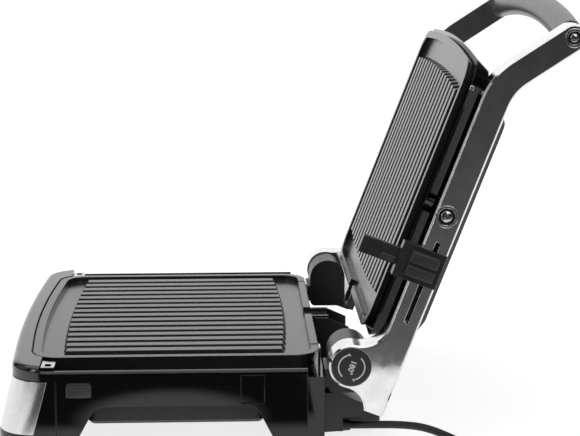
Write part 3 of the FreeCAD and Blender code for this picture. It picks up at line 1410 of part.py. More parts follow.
def biarc(start, start_heading, end, end_heading):
    """Two arcs that leave one point and reach another on the given headings."""
    chord = end - start
    headings = start_heading + end_heading
    a = 2 * (1 - start_heading.dot(end_heading))
    b = 2 * chord.dot(headings)
    c = -chord.dot(chord)
    reach = -c / b if abs(a) < 1e-9 else (-b + math.sqrt(b * b - 4 * a * c)) / (2 * a)
    one = start + start_heading * reach
    two = end - end_heading * reach
    joint = (one + two) * 0.5
    arcs = []
    for head, corner, tail in ((start, one, joint), (joint, two, end)):
        back = (head - corner).normalize()
        ahead = (tail - corner).normalize()
        half_turn = (math.pi - back.getAngle(ahead)) / 2
        if half_turn < 1e-4:
            arcs.append(Part.LineSegment(head, tail).toShape())
            continue
        bow = reach * math.tan(half_turn / 2)
        arcs.append(Part.Arc(head, corner + (back + ahead).normalize() * bow, tail).toShape())
    return arcs


tail_run = 3 * S.cord_diameter


def resting_tilt():
    """The upward tilt at which the rim of the plug just rests on the table."""
    low, high = 0.0, math.pi / 4
    for _ in range(40):
        tilt = (low + high) / 2
        seat = coil_point(S.coil_turns).z + tail_run * math.tan(tilt / 2)
        rim = seat + (S.cord_diameter + S.plug_rim) * math.sin(tilt)
        if rim - S.plug_radius * math.cos(tilt) < -S.hub_height + S.clearance / 2:
            low = tilt
        else:
            high = tilt
    return low


plug_tilt = resting_tilt()


def coil():
    """The rest of the lead, wound in two layers, with a straight end at the lead and at the plug."""
    part_turn = 0.125
    count = 2 * round(S.coil_turns / part_turn / 2)
    stops = [n * S.coil_turns / count for n in range(count + 1)]
    first = coil_point(0.0)
    edges = [Part.LineSegment(coil_start, first).toShape()]
    place, heading = first, AXIS_X
    for turns in stops[1:]:
        here = coil_point(turns)
        ahead = coil_heading(turns)
        edges += biarc(place, heading, here, ahead)
        place, heading = here, ahead
    flat = vec(heading.x, heading.y, 0).normalize()
    end_heading = flat * math.cos(plug_tilt) + AXIS_Z * math.sin(plug_tilt)
    end = place + flat * tail_run + AXIS_Z * (tail_run * math.tan(plug_tilt / 2))
    edges += biarc(place, heading, end, end_heading)
    plug_seat = end + end_heading * S.cord_diameter
    edges.append(Part.LineSegment(end, plug_seat).toShape())
    path = Part.Wire(edges)
    solid = tube(path, cord_radius, coil_start, AXIS_X)
    samples = path.discretize(Number=600)
    skip = int(600 * 4 * S.cord_diameter / path.Length)
    least = min(
        a.distanceToPoint(b) for n, a in enumerate(samples) for b in samples[n + skip :]
    )
    print("coil length", round(path.Length, 1), "least gap to itself", round(least - S.cord_diameter, 2))
    ideal = math.pi * cord_radius**2 * path.Length
    print("coil volume over section times length", round(solid.Volume / ideal, 4))
    return solid, plug_seat, end_heading


coil_solid, plug_seat, plug_heading = coil()
add_shape("cord_coil", coil_solid, at_hinge)


def coil_tie():
    """A flat band round the bundle of turns, on the side of the coil away from the lead's start."""
    inner = S.coil_radius - S.coil_pitch * (S.coil_turns / 2) - cord_radius
    near, far = inner - S.clearance, S.coil_radius + cord_radius + S.clearance
    low, high = -cord_radius - S.clearance / 2, S.coil_pitch + cord_radius + S.clearance

    def block(grow):
        x = (coil_centre.x - S.tie_width / 2, coil_centre.x + S.tie_width / 2)
        y = (coil_centre.y + near - grow, coil_centre.y + far + grow)
        return box(x, y, (coil_centre.z + low - grow, coil_centre.z + high + grow))

    solid = block(S.tie_sheet)
    corners = [edge for edge in solid.Edges if edge.BoundBox.XLength > S.tie_width / 2]
    return solid.makeFillet(S.cord_diameter / 2, corners).cut(
        box(
            (coil_centre.x - FAR, coil_centre.x + FAR),
            (coil_centre.y + near, coil_centre.y + far),
            (coil_centre.z + low, coil_centre.z + high),
        )
    )


add_shape("cord_tie", coil_tie(), at_hinge)


def plug():
    """A round earthed plug: a ribbed tail that swells to a broad face."""
    r = S.plug_radius
    profile = [
        (0.0, 0.0),
        (S.plug_tail * 0.8, 0.0),
        (S.plug_tail, 0.3 * S.plug_length),
        (0.75 * r, 0.8 * S.plug_rim),
        (r, S.plug_rim),
        (r, S.plug_length),
        (0.0, S.plug_length),
    ]
    return polygon([vec(x, 0, z) for x, z in profile]).revolve(vec(0, 0, 0), AXIS_Z, 360)


plug_place = FreeCAD.Placement(plug_seat, FreeCAD.Rotation(AXIS_Z, plug_heading))
add_shape("plug_body", plug(), at_hinge * plug_place)
pin_end = S.plug_length + S.plug_pin_length
pin = cylinder(S.plug_pin_radius, (S.plug_pin_half, 0, S.plug_length), (S.plug_pin_half, 0, pin_end))
add_shape("plug_pins", Part.makeCompound(both_sides(pin)), at_hinge * plug_place)

doc.recompute()
for obj in doc.Objects:
    if "Invalid" in obj.State or "Error" in obj.State:
        raise RuntimeError(f"{obj.Label} failed: {obj.State}")
os.makedirs("parts", exist_ok=True)
for obj in nodes:
    shape = obj.Shape
    if shape.isNull() or not shape.isValid():
        raise RuntimeError(f"{obj.Label} has no sound shape")
    shape.exportStep(f"parts/{obj.Label}.step")
    print(obj.Label, len(shape.Solids), round(shape.Volume / 1000, 2), "cm3")
everything = Part.makeCompound([obj.Shape for obj in nodes])
print("box", everything.BoundBox)
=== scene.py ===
"""Dresses an electric contact grill: finishes, soft edges, fine fittings, its lead, and a white studio."""

import logging
import math
from dataclasses import dataclass
from enum import Enum

import bmesh
import bpy
from bmesh.types import BMEdge, BMesh, BMVert
from bpy.types import Material, Node, NodeSocket, NodeTree, Object, World
from mathutils import Matrix, Vector


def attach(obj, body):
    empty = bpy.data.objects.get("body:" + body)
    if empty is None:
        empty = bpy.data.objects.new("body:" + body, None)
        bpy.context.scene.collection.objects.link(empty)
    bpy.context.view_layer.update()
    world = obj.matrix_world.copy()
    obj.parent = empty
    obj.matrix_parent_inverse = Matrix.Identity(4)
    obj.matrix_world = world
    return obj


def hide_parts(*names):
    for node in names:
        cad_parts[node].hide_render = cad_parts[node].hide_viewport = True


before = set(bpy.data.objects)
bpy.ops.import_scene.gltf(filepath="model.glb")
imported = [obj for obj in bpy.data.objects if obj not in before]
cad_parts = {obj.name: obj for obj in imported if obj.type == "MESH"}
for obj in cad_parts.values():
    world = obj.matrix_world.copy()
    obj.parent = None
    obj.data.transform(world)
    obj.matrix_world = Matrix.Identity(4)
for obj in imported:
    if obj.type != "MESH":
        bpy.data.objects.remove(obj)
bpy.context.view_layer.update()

Pair = tuple[float, float]
Triple = tuple[float, float, float]
LOG = logging.getLogger("contact_grill")
MM = 0.001
WHITE = (1.0, 1.0, 1.0, 1.0)
# Nearly all values of a noise texture lie between these two
NOISE_LOW = 0.3
NOISE_HIGH = 0.7
# Sockets of the node that carries one span of values over to another
SPAN_SOCKETS = ("Value", "From Min", "From Max", "To Min", "To Max")
# An edge that turns by more than this stays sharp
SHARP_ANGLE = math.radians(35)


def linear(code: str) -> tuple[float, float, float, float]:
    """Turns an sRGB hex colour into linear light.

    Args:
        code: the colour, such as "#8a8a8a".

    Returns:
        Red, green, blue and an alpha of one.
    """
    parts = [int(code[n : n + 2], 16) / 255 for n in (1, 3, 5)]
    light = [p / 12.92 if p <= 0.04045 else ((p + 0.055) / 1.055) ** 2.4 for p in parts]
    return (light[0], light[1], light[2], 1.0)


def add_node(
    tree: NodeTree,
    kind: str,
    settings: dict[str, object] | None = None,
    inputs: dict[str | int, object] | None = None,
) -> Node:
    """Adds a node, sets it, and links it.

    Args:
        tree: the node tree it goes into.
        kind: the node's type name.
        settings: properties of the node.
        inputs: numbers for its sockets, or sockets to link to them.

    Returns:
        The new node.
    """
    node = tree.nodes.new(kind)
    for name, value in (settings or {}).items():
        setattr(node, name, value)
    for name, value in (inputs or {}).items():
        if isinstance(value, NodeSocket):
            tree.links.new(value, node.inputs[name])
        else:
            node.inputs[name].default_value = value
    return node


def empty_tree(owner: Material | World) -> NodeTree:
    """Gives a material or a world a node tree with nothing in it.

    Args:
        owner: the material or the world.

    Returns:
        Its tree.
    """
    owner.use_nodes = True
    owner.node_tree.nodes.clear()
    return owner.node_tree


class Grain(Enum):
    """How a surface was made, which sets how its fine pattern runs."""

    EVEN = (1.0, 1.0, 1.0)
    BRUSHED_ACROSS = (0.02, 0.6, 1.0)


@dataclass(frozen=True)
class Finish:
    """One real finish: its colours, its gloss, and the size of its grain.

    Attributes:
        name: what the material is and how it was made.
        colour: its usual colour.
        shade: the colour of its darker patches.
        roughness: how much it spreads a reflection.
        metallic: one for bare metal.
        ior: refraction of a plastic or a coating.
        grain: which way the fine pattern runs.
        grain_mm: size of the fine pattern.
        depth_mm: height of the fine pattern.
        patch_mm: size of the slow changes of colour.
        gloss_spread: how much the roughness varies with the grain.
        edge_mm: rounding that the light shows along its edges.
        shine: how strongly a plastic mirrors head on, where a half is usual.
    """

    name: str
    colour: str
    shade: str
    roughness: float
    metallic: float = 0.0
    ior: float = 1.5
    grain: Grain = Grain.EVEN
    grain_mm: float = 1.0
    depth_mm: float = 0.01
    patch_mm: float = 40.0
    gloss_spread: float = 0.06
    edge_mm: float = 0.6
    shine: float = 0.5

    def material(self) -> Material:
        """Gives the finish's material, made on first use."""
        found = bpy.data.materials.get(self.name)
        return found if found else self.build()

    def build(self) -> Material:
        """Makes the material: slow patches in the colour, fine grain in the gloss and the relief.

        Returns:
            The new material.
        """
        made = bpy.data.materials.new(self.name)
        tree = empty_tree(made)
        place = add_node(tree, "ShaderNodeTexCoord").outputs["Object"]
        slow = {"Vector": place, "Scale": 1 / (MM * self.patch_mm), "Detail": 3.0}
        patches = add_node(tree, "ShaderNodeTexNoise", inputs=slow)
        run = add_node(tree, "ShaderNodeMapping", inputs={"Vector": place, "Scale": self.grain.value})
        quick = {"Vector": run.outputs["Vector"], "Scale": 1 / (MM * self.grain_mm), "Detail": 2.0}
        fine = add_node(tree, "ShaderNodeTexNoise", inputs=quick)
        tint = add_node(tree, "ShaderNodeValToRGB", inputs={"Fac": patches.outputs["Fac"]})
        ends = ((NOISE_LOW, self.shade), (NOISE_HIGH, self.colour))
        for stop, (position, colour) in zip(tint.color_ramp.elements, ends):
            stop.position = position
            stop.color = linear(colour)
        spread = (self.roughness - self.gloss_spread, self.roughness + self.gloss_spread)
        span = (fine.outputs["Fac"], NOISE_LOW, NOISE_HIGH, *spread)
        gloss = add_node(tree, "ShaderNodeMapRange", inputs=dict(zip(SPAN_SOCKETS, span)))
        edge = add_node(tree, "ShaderNodeBevel", {"samples": 6}, {"Radius": self.edge_mm * MM})
        relief = add_node(
            tree,
            "ShaderNodeBump",
            inputs={
                "Height": fine.outputs["Fac"],
                "Strength": 1.0,
                "Distance": self.depth_mm * MM,
                "Normal": edge.outputs["Normal"],
            },
        )
        shader = add_node(
            tree,
            "ShaderNodeBsdfPrincipled",
            inputs={
                "Base Color": tint.outputs["Color"],
                "Roughness": gloss.outputs["Result"],
                "Normal": relief.outputs["Normal"],
                "Metallic": self.metallic,
                "IOR": self.ior,
                "Specular IOR Level": self.shine,
            },
        )
        add_node(tree, "ShaderNodeOutputMaterial", inputs={"Surface": shader.outputs["BSDF"]})
        return made


class Finishes:
    """Every finish on the grill."""

    # Sprayed non-stick coat on cast aluminium: satin, with the faint pebble of a baked spray
    NON_STICK = Finish(
        "baked_non_stick_coat", "#2b2b2c", "#222223", 0.24, ior=1.58, grain_mm=0.9, depth_mm=0.006,
        patch_mm=30, gloss_spread=0.05, edge_mm=0.9,
    )
    # ABS moulded in a polished tool: deep black that mirrors the table
    GLOSS_ABS = Finish(
        "gloss_black_abs", "#0c0c0d", "#080809", 0.06, ior=1.53, grain_mm=6, depth_mm=0.003,
        gloss_spread=0.015, edge_mm=0.7, shine=0.45,
    )
    # The same ABS under a clear hard coat, on the rim that hands touch
    HARD_COAT_ABS = Finish(
        "hard_coated_black_abs", "#0e0e0f", "#0a0a0b", 0.15, ior=1.56, grain_mm=5, depth_mm=0.004,
        gloss_spread=0.03, edge_mm=1.0, shine=0.62,
    )
    # ABS moulded in a blasted tool: a dead black that hardly mirrors
    MATT_ABS = Finish(
        "blasted_black_abs", "#121213", "#0d0d0e", 0.42, grain_mm=0.7, depth_mm=0.012, edge_mm=0.5, shine=0.2
    )
    # ABS moulded in a spark-eroded tool: a dull skin of fine pits
    SATIN_ABS = Finish("spark_eroded_abs", "#1a1a1b", "#141415", 0.36, grain_mm=0.8, depth_mm=0.012)
    # Dark grey acetal for what a thumb presses, turns or slides: dull and smooth
    GREY_ACETAL = Finish("dark_grey_acetal", "#303032", "#29292b", 0.34, grain_mm=0.7, depth_mm=0.01)
    # Lighter acetal for the plate release and the slide's grip bands; on the raised bands the lighter tone
    # is partly their own grey and partly a painted highlight
    MID_GREY_ACETAL = Finish("mid_grey_acetal", "#3f3f41", "#37373a", 0.38, grain_mm=0.7, depth_mm=0.01)
    # Stainless sheet brushed across the front: fine level streaks that draw a highlight out
    BRUSHED_STEEL = Finish(
        "brushed_stainless_sheet", "#e6e6e5", "#d4d4d3", 0.24, 1.0, 1.5, Grain.BRUSHED_ACROSS,
        grain_mm=0.35, depth_mm=0.004, patch_mm=80, gloss_spread=0.08, edge_mm=0.4,
    )
    # Zinc die casting, polished and lacquered: a smooth mirror with a trace of flow
    CAST_ARM = Finish(
        "polished_die_casting", "#e6e6e7", "#d2d2d4", 0.09, 1.0, 1.5, grain_mm=11, depth_mm=0.03,
        patch_mm=18, gloss_spread=0.03, edge_mm=0.7,
    )
    # Grey lacquer sprayed on the handle: a soft, even sheen
    GRIP_PAINT = Finish("satin_grey_lacquer", "#686868", "#606060", 0.34, grain_mm=1.2, depth_mm=0.008)
    # Turned and plated steel: bright, with crisp edges
    PLATED_STEEL = Finish(
        "bright_plated_steel", "#c4c4c4", "#b0b0b0", 0.14, 1.0, 1.5, grain_mm=1.5, depth_mm=0.006,
        edge_mm=0.3,
    )
    # Pressed aluminium sheet: pale, with the soft waves of the press
    TRAY_SHEET = Finish(
        "pressed_aluminium_sheet", "#c2c3c4", "#adaeaf", 0.3, 1.0, 1.5, grain_mm=2, depth_mm=0.02
    )
    # Oxidised steel tube round a heating wire: brown grey and dull
    HEATER_SHEATH = Finish(
        "oxidised_steel_tube", "#4c4843", "#35322f", 0.45, 1.0, 1.5, grain_mm=1.5, depth_mm=0.02
    )
    # Soft PVC and rubber: dull black with a slight sheen
    SOFT_PVC = Finish("black_soft_pvc", "#232324", "#1c1c1d", 0.46, grain_mm=1.5, depth_mm=0.02)
    # White pad print on the hinge button and dial: flat and matt
    WHITE_PRINT = Finish(
        "white_pad_print", "#f2f2f0", "#e6e6e4", 0.5, grain_mm=0.5, depth_mm=0.003, edge_mm=0.02
    )
    # Dark pad print on the steel panel: flat and matt
    DARK_PRINT = Finish(
        "dark_pad_print", "#242425", "#1c1c1d", 0.5, grain_mm=0.5, depth_mm=0.003, edge_mm=0.02
    )
    # Red polycarbonate over the power lamp: a deep gloss
    RED_LENS = Finish(
        "red_polycarbonate_lens", "#a3170f", "#7d0f0a", 0.12, grain_mm=2.5, depth_mm=0.03, ior=1.58
    )
    # Green polycarbonate over the ready lamp: a deep gloss
    GREEN_LENS = Finish(
        "green_polycarbonate_lens", "#1d8a3a", "#146b2c", 0.12, grain_mm=2.5, depth_mm=0.03, ior=1.58
    )


# The finish of every solid
NODE_FINISH: dict[str, Finish] = {
    node: finish
    for finish, nodes in (
        (Finishes.NON_STICK, ("lower_plate", "upper_plate")),
        (Finishes.GLOSS_ABS, ("base_shell", "lid_frame")),
        (Finishes.HARD_COAT_ABS, ("front_trim",)),
        (Finishes.MATT_ABS, ("lid_cover",)),
        (Finishes.SATIN_ABS, ("hinge_bracket_right", "hinge_bracket_left", "drip_tray")),
        (Finishes.SATIN_ABS, ("bottom_cover", "drain_chute", "cord_guard")),
        (Finishes.GREY_ACETAL, ("height_slide", "thermostat_knob", "upper_release_button")),
        (Finishes.GREY_ACETAL, ("hinge_button", "hinge_cap")),
        (Finishes.MID_GREY_ACETAL, ("lower_release_button",)),
        (Finishes.BRUSHED_STEEL, ("front_panel",)),
        (Finishes.CAST_ARM, ("arm_right", "arm_left")),
        (Finishes.GRIP_PAINT, ("handle_grip",)),
        (Finishes.PLATED_STEEL, ("handle_bolts", "lid_pivot_bolts", "lid_pivot_spacers", "base_screws")),
        (Finishes.PLATED_STEEL, ("hinge_pin_right", "hinge_pin_left", "plug_pins")),
        (Finishes.PLATED_STEEL, ("front_plate_catches", "rear_plate_tabs")),
        (Finishes.TRAY_SHEET, ("lower_heat_tray", "upper_heat_tray")),
        (Finishes.HEATER_SHEATH, ("lower_heating_element", "upper_heating_element", "thermostat")),
        (Finishes.RED_LENS, ("indicator_lamps",)),
        (Finishes.SOFT_PVC, ("rubber_feet", "cord_bush", "power_cord")),
        (Finishes.SOFT_PVC, ("cord_coil", "cord_tie", "plug_body")),
    )
    for node in nodes
}


def dress(obj: Object, finish: Finish) -> None:
    """Gives an object one finish all over.

    Args:
        obj: a mesh or a curve.
        finish: the finish it gets.
    """
    obj.data.materials.clear()
    obj.data.materials.append(finish.material())


def mesh_object(mesh: BMesh, name: str) -> Object:
    """Turns a drawn mesh into an object in the scene.

    Args:
        mesh: the drawing, which is used up.
        name: the object's name.

    Returns:
        The new object.
    """
    data = bpy.data.meshes.new(name)
    mesh.to_mesh(data)
    mesh.free()
    obj = bpy.data.objects.new(name, data)
    bpy.context.scene.collection.objects.link(obj)
    return obj


def new_piece(
    mesh: BMesh, name: str, place: Matrix, finish: Finish, body: str
) -> Object:
    """Turns a drawn mesh into a dressed piece that rides on a body.

    Args:
        mesh: the drawn piece, which is used up.
        name: the piece's name.
        place: from the drawing into the row frame.
        finish: its finish.
        body: the body that it moves with.

    Returns:
        The new object.
    """
    mesh.transform(place)
    bmesh.ops.recalc_face_normals(mesh, faces=mesh.faces)
    obj = mesh_object(mesh, name)
    obj.data.shade_smooth()
    obj.data.set_sharp_from_angle(angle=SHARP_ANGLE)
    dress(obj, finish)
    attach(obj, body)
    return obj


def facing(x_axis: Vector, out: Vector, origin: Vector) -> Matrix:
    """Gives the place of a drawing that lies on a face.

    Args:
        x_axis: where the drawing's x runs.
        out: where its z runs, off the face.
        origin: where its origin lies.

    Returns:
        The matrix from the drawing.
    """
    turn = Matrix((x_axis, out.cross(x_axis), out)).transposed().to_4x4()
    return Matrix.Translation(origin) @ turn


def add_bar(mesh: BMesh, low: Vector, high: Vector) -> None:
    """Adds a straight bar between two corners.

    Args:
        mesh: where the bar goes.
        low: its lowest corner.
        high: its highest corner.
    """
    size = Matrix.Diagonal((*(high - low), 1.0))
    bmesh.ops.create_cube(mesh, size=1.0, matrix=Matrix.Translation((low + high) / 2) @ size)


def pick(geometry: list, kind: type) -> list:
    """Picks the vertices or the edges out of what an operator made."""
    return [g for g in geometry if isinstance(g, kind)]


def raise_faces(mesh: BMesh, height: float) -> None:
    """Gives flat faces a thickness along z.

    Args:
        mesh: a flat drawing.
        height: the thickness.
    """
    grown = bmesh.ops.extrude_face_region(mesh, geom=mesh.faces[:])["geom"]
    bmesh.ops.translate(mesh, verts=pick(grown, BMVert), vec=(0, 0, height))


def soften(
    mesh: BMesh, edges: list[BMEdge], offset: float, segments: int = 3
) -> None:
    """Rounds edges.

    Args:
        mesh: the mesh that they are in.
        edges: the edges.
        offset: how far the rounding reaches from each edge.
        segments: the number of steps in it.
    """
    bmesh.ops.bevel(
        mesh, geom=edges, offset=offset, segments=segments, profile=0.5, affect="EDGES", material=-1
    )


@dataclass
class Hinge:
    """Where the hinge axis runs, and how the shut lid's measures turn into the open one's.

    Attributes:
        back: the axis's distance behind the middle of the grill.
        height: its height above the table.
        open_angle: how far the lid is open at rest, in degrees.
    """

    back: float = 53.0
    height: float = 80.0
    open_angle: float = 111.0

    def axis_place(self) -> Matrix:
        """Moves a place about the hinge axis into the row frame."""
        return Matrix.Translation(Vector((0, self.back, self.height)) * MM)

    def base_place(self) -> Matrix:
        """Puts a piece drawn about the hinge axis, in millimetres, into the row frame."""
        return self.axis_place() @ Matrix.Scale(MM, 4)

    def lid_place(self) -> Matrix:
        """Puts a piece drawn on the shut lid, in millimetres, onto the open lid."""
        turn = Matrix.Rotation(math.radians(-self.open_angle), 4, "X")
        return self.axis_place() @ turn @ Matrix.Scale(MM, 4)


class Side(Enum):
    """The grill's two sides, each with the sign of its x."""

    RIGHT = 1
    LEFT = -1


@dataclass
class SocketBolts:
    """A pair of bolts across the arms, with a six-sided socket in each sunk head.

    Attributes:
        hinge: the hinge that the arms turn on.
        node: the plain bolts that these stand for.
        body: the body that they move with.
        ahead: the bolts' distance ahead of the hinge on the shut arm.
        above: their height above the hinge.
        shank: radius of the shank.
        head: radius of the head.
        inner: inner end of the shank from the middle of the grill.
        recess: radius of the recess in the arm.
        opening: radius of the hole in the ring that fills the recess.
        lift: gap left under the head.
        seat: floor of the recess from the middle of the grill.
        face: the arm's outer face from the middle of the grill.
        head_height: height of the head above the floor, at its rim.
        crown: how far the head rises from its rim to the socket.
        round_share: rounding of the rim, as a share of the head's height.
        socket_share: radius of the socket, as a share of the head's.
        socket_depth: depth of the socket.
        overlap: how far the shank runs up into the head.
        ring_drop: how far the ring lies below the arm's face.
        shade_ring_height: thickness of the dark ring that paints shade on the recess floor.
        shade_ring_gap: gap between the painted-shade ring and the head.
    """

    hinge: Hinge
    node: str
    body: str
    ahead: float
    above: float
    shank: float
    head: float
    inner: float
    recess: float
    opening: float
    lift: float = 0.3
    seat: float = 181.0
    face: float = 184.0
    head_height: float = 2.4
    crown: float = 0.7
    round_share: float = 0.4
    socket_share: float = 0.45
    socket_depth: float = 1.8
    overlap: float = 1.0
    ring_drop: float = 0.02
    shade_ring_height: float = 0.5
    shade_ring_gap: float = 0.15

    def arm_place(self, side: Side, out: float) -> Matrix:
        """Gives the place of a drawing on one arm, whose z points outwards.

        Args:
            side: which arm.
            out: its distance from the middle of the grill.

        Returns:
            The matrix from the drawing to the shut arm.
        """
        origin = Vector((side.value * out, -self.ahead, self.above))
        return facing(Vector((0, side.value, 0)), Vector((side.value, 0, 0)), origin)

    def one_bolt(self, mesh: BMesh, side: Side) -> None:
        """Adds one bolt.

        Args:
            mesh: where the bolt goes.
            side: which arm.
        """
        new = bmesh.new()
        rim = bmesh.ops.create_circle(new, segments=36, radius=self.head)["verts"]
        socket = bmesh.ops.create_circle(new, segments=6, radius=self.socket_share * self.head)["verts"]
        rim_edges = list({e for v in rim for e in v.link_edges})
        socket_edges = list({e for v in socket for e in v.link_edges})
        bmesh.ops.bridge_loops(new, edges=rim_edges + socket_edges)
        bmesh.ops.translate(new, verts=socket, vec=(0, 0, self.crown))
        for edges, depth in ((socket_edges, self.socket_depth), (rim_edges, self.head_height - self.lift)):
            grown = bmesh.ops.extrude_edge_only(new, edges=edges)["geom"]
            verts = pick(grown, BMVert)
            bmesh.ops.translate(new, verts=verts, vec=(0, 0, -depth))
            bmesh.ops.contextual_create(new, geom=verts + pick(grown, BMEdge))
        soften(new, rim_edges, self.round_share * self.head_height, segments=4)
        bmesh.ops.translate(new, verts=new.verts, vec=(0, 0, self.seat + self.head_height))
        length = self.seat - self.inner + self.overlap
        middle = Matrix.Translation((0, 0, self.inner + length / 2))
        bmesh.ops.create_cone(
            new, cap_ends=True, segments=32, radius1=self.shank, radius2=self.shank, depth=length,
            matrix=middle,
        )
        new.transform(self.arm_place(side, 0.0))
        part = bpy.data.meshes.new("bolt")
        new.to_mesh(part)
        new.free()
        mesh.from_mesh(part)
        bpy.data.meshes.remove(part)

    def ring(self, side: Side, radii: Pair, height: float) -> BMesh:
        """Draws a flat ring on the floor of one recess.

        Args:
            side: which arm.
            radii: its outer and inner radius.
            height: its thickness.

        Returns:
            The ring, on the shut arm.
        """
        mesh = bmesh.new()
        for radius in radii:
            bmesh.ops.create_circle(mesh, segments=48, radius=radius)
        bmesh.ops.bridge_loops(mesh, edges=mesh.edges[:])
        raise_faces(mesh, height)
        mesh.transform(self.arm_place(side, self.seat))
        return mesh

    def line_recess(self, side: Side) -> list[Object]:
        """Fills the outer part of one recess with a bright ring, and lays a dark ring inside it that paints
        shade on the recess floor.

        Args:
            side: which arm.

        Returns:
            The bright ring and the painted-shade ring.
        """
        place = self.hinge.lid_place()
        end = side.name.lower()
        bright = self.ring(side, (self.recess, self.opening), self.face - self.seat - self.ring_drop)
        # Painted shade: a black ring on the recess floor round the head stands in for the recess's shadow
        dark = self.ring(side, (self.opening, self.head + self.shade_ring_gap), self.shade_ring_height)
        return [
            new_piece(bright, f"{self.node}_ring_{end}", place, Finishes.CAST_ARM, "arms"),
            new_piece(dark, f"{self.node}_seat_{end}", place, Finishes.SOFT_PVC, "arms"),
        ]

    def build(self) -> list[Object]:
        """Makes both bolts in place of the plain ones, with a bright ring and a painted-shade ring round
        each.

        Returns:
            The bright rings, the painted-shade rings and the bolts.
        """
        mesh = bmesh.new()
        pieces = []
        for side in Side:
            self.one_bolt(mesh, side)
            pieces += self.line_recess(side)
        name = f"{self.node}_with_sockets"
        place = self.hinge.lid_place()
        obj = new_piece(mesh, name, place, Finishes.PLATED_STEEL, self.body)
        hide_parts(self.node)
        return [*pieces, obj]


@dataclass
class HingeButtonMarks:
    """The print on the hinge button: how far the lid opens, between two arrows.

    Attributes:
        hinge: the hinge that the button turns with.
        face: outer face of the button from the middle of the grill.
        radius: radius of the arrows' curve.
        stroke: width of the arrows.
        head_size: radius of the arrows' heads.
        text_size: size of the figures.
        text_weight: how much the figures are thickened, as a share of their size.
        print_height: thickness of the print.
        sweeps: the angles where each arrow begins and where its head begins, as the open lid shows them.
    """

    hinge: Hinge
    face: float = 185.2
    radius: float = 10.6
    stroke: float = 1.05
    head_size: float = 1.7
    text_size: float = 6.4
    text_weight: float = 0.02
    print_height: float = 0.08
    sweeps: tuple[Pair, ...] = ((225.0, 100.0), (45.0, -80.0))

    def arrow(self, mesh: BMesh, start: float, end: float) -> None:
        """Adds one curved arrow, flat on the button's face.

        Args:
            mesh: where it goes.
            start: the angle where it begins, in degrees, as the open lid shows it.
            end: the angle where its head begins.
        """
        shift = self.hinge.open_angle
        first, last = math.radians(start + shift), math.radians(end + shift)
        inner, outer = self.radius - self.stroke / 2, self.radius + self.stroke / 2
        verts = [mesh.verts.new((r * math.cos(first), r * math.sin(first), 0)) for r in (inner, outer)]
        edge = mesh.edges.new(verts)
        bmesh.ops.spin(
            mesh, geom=[*verts, edge], cent=(0, 0, 0), axis=(0, 0, 1), angle=last - first, steps=28
        )
        spot = Matrix.Rotation(last, 4, "Z") @ Matrix.Translation((self.radius, 0, 0))
        tip = spot @ Matrix.Rotation(math.radians(-90), 4, "Z")
        bmesh.ops.create_circle(mesh, cap_ends=True, segments=3, radius=self.head_size, matrix=tip)

    def words(self, mesh: BMesh) -> None:
        """Adds the angle in figures.

        Args:
            mesh: where they go.
        """
        font = bpy.data.curves.new("opening_angle", "FONT")
        font.body = "180°"
        font.size = self.text_size
        font.offset = self.text_weight * self.text_size
        font.align_x = "CENTER"
        font.align_y = "CENTER"
        holder = bpy.data.objects.new("opening_angle", font)
        bpy.context.scene.collection.objects.link(holder)
        drawn = bpy.data.meshes.new_from_object(holder)
        mesh.from_mesh(drawn)
        bpy.data.objects.remove(holder)
        bpy.data.meshes.remove(drawn)

    def build(self) -> list[Object]:
        """Prints the marks on the button.

        Returns:
            The print.
        """
        mesh = bmesh.new()
        for start, end in self.sweeps:
            self.arrow(mesh, start, end)
        self.words(mesh)
        raise_faces(mesh, self.print_height)
        spot = facing(Vector((0, 1, 0)), Vector((1, 0, 0)), Vector((self.face, 0, 0)))
        place = self.hinge.lid_place() @ spot
        finish = Finishes.WHITE_PRINT
        return [new_piece(mesh, "hinge_button_marks", place, finish, "hinge_button")]


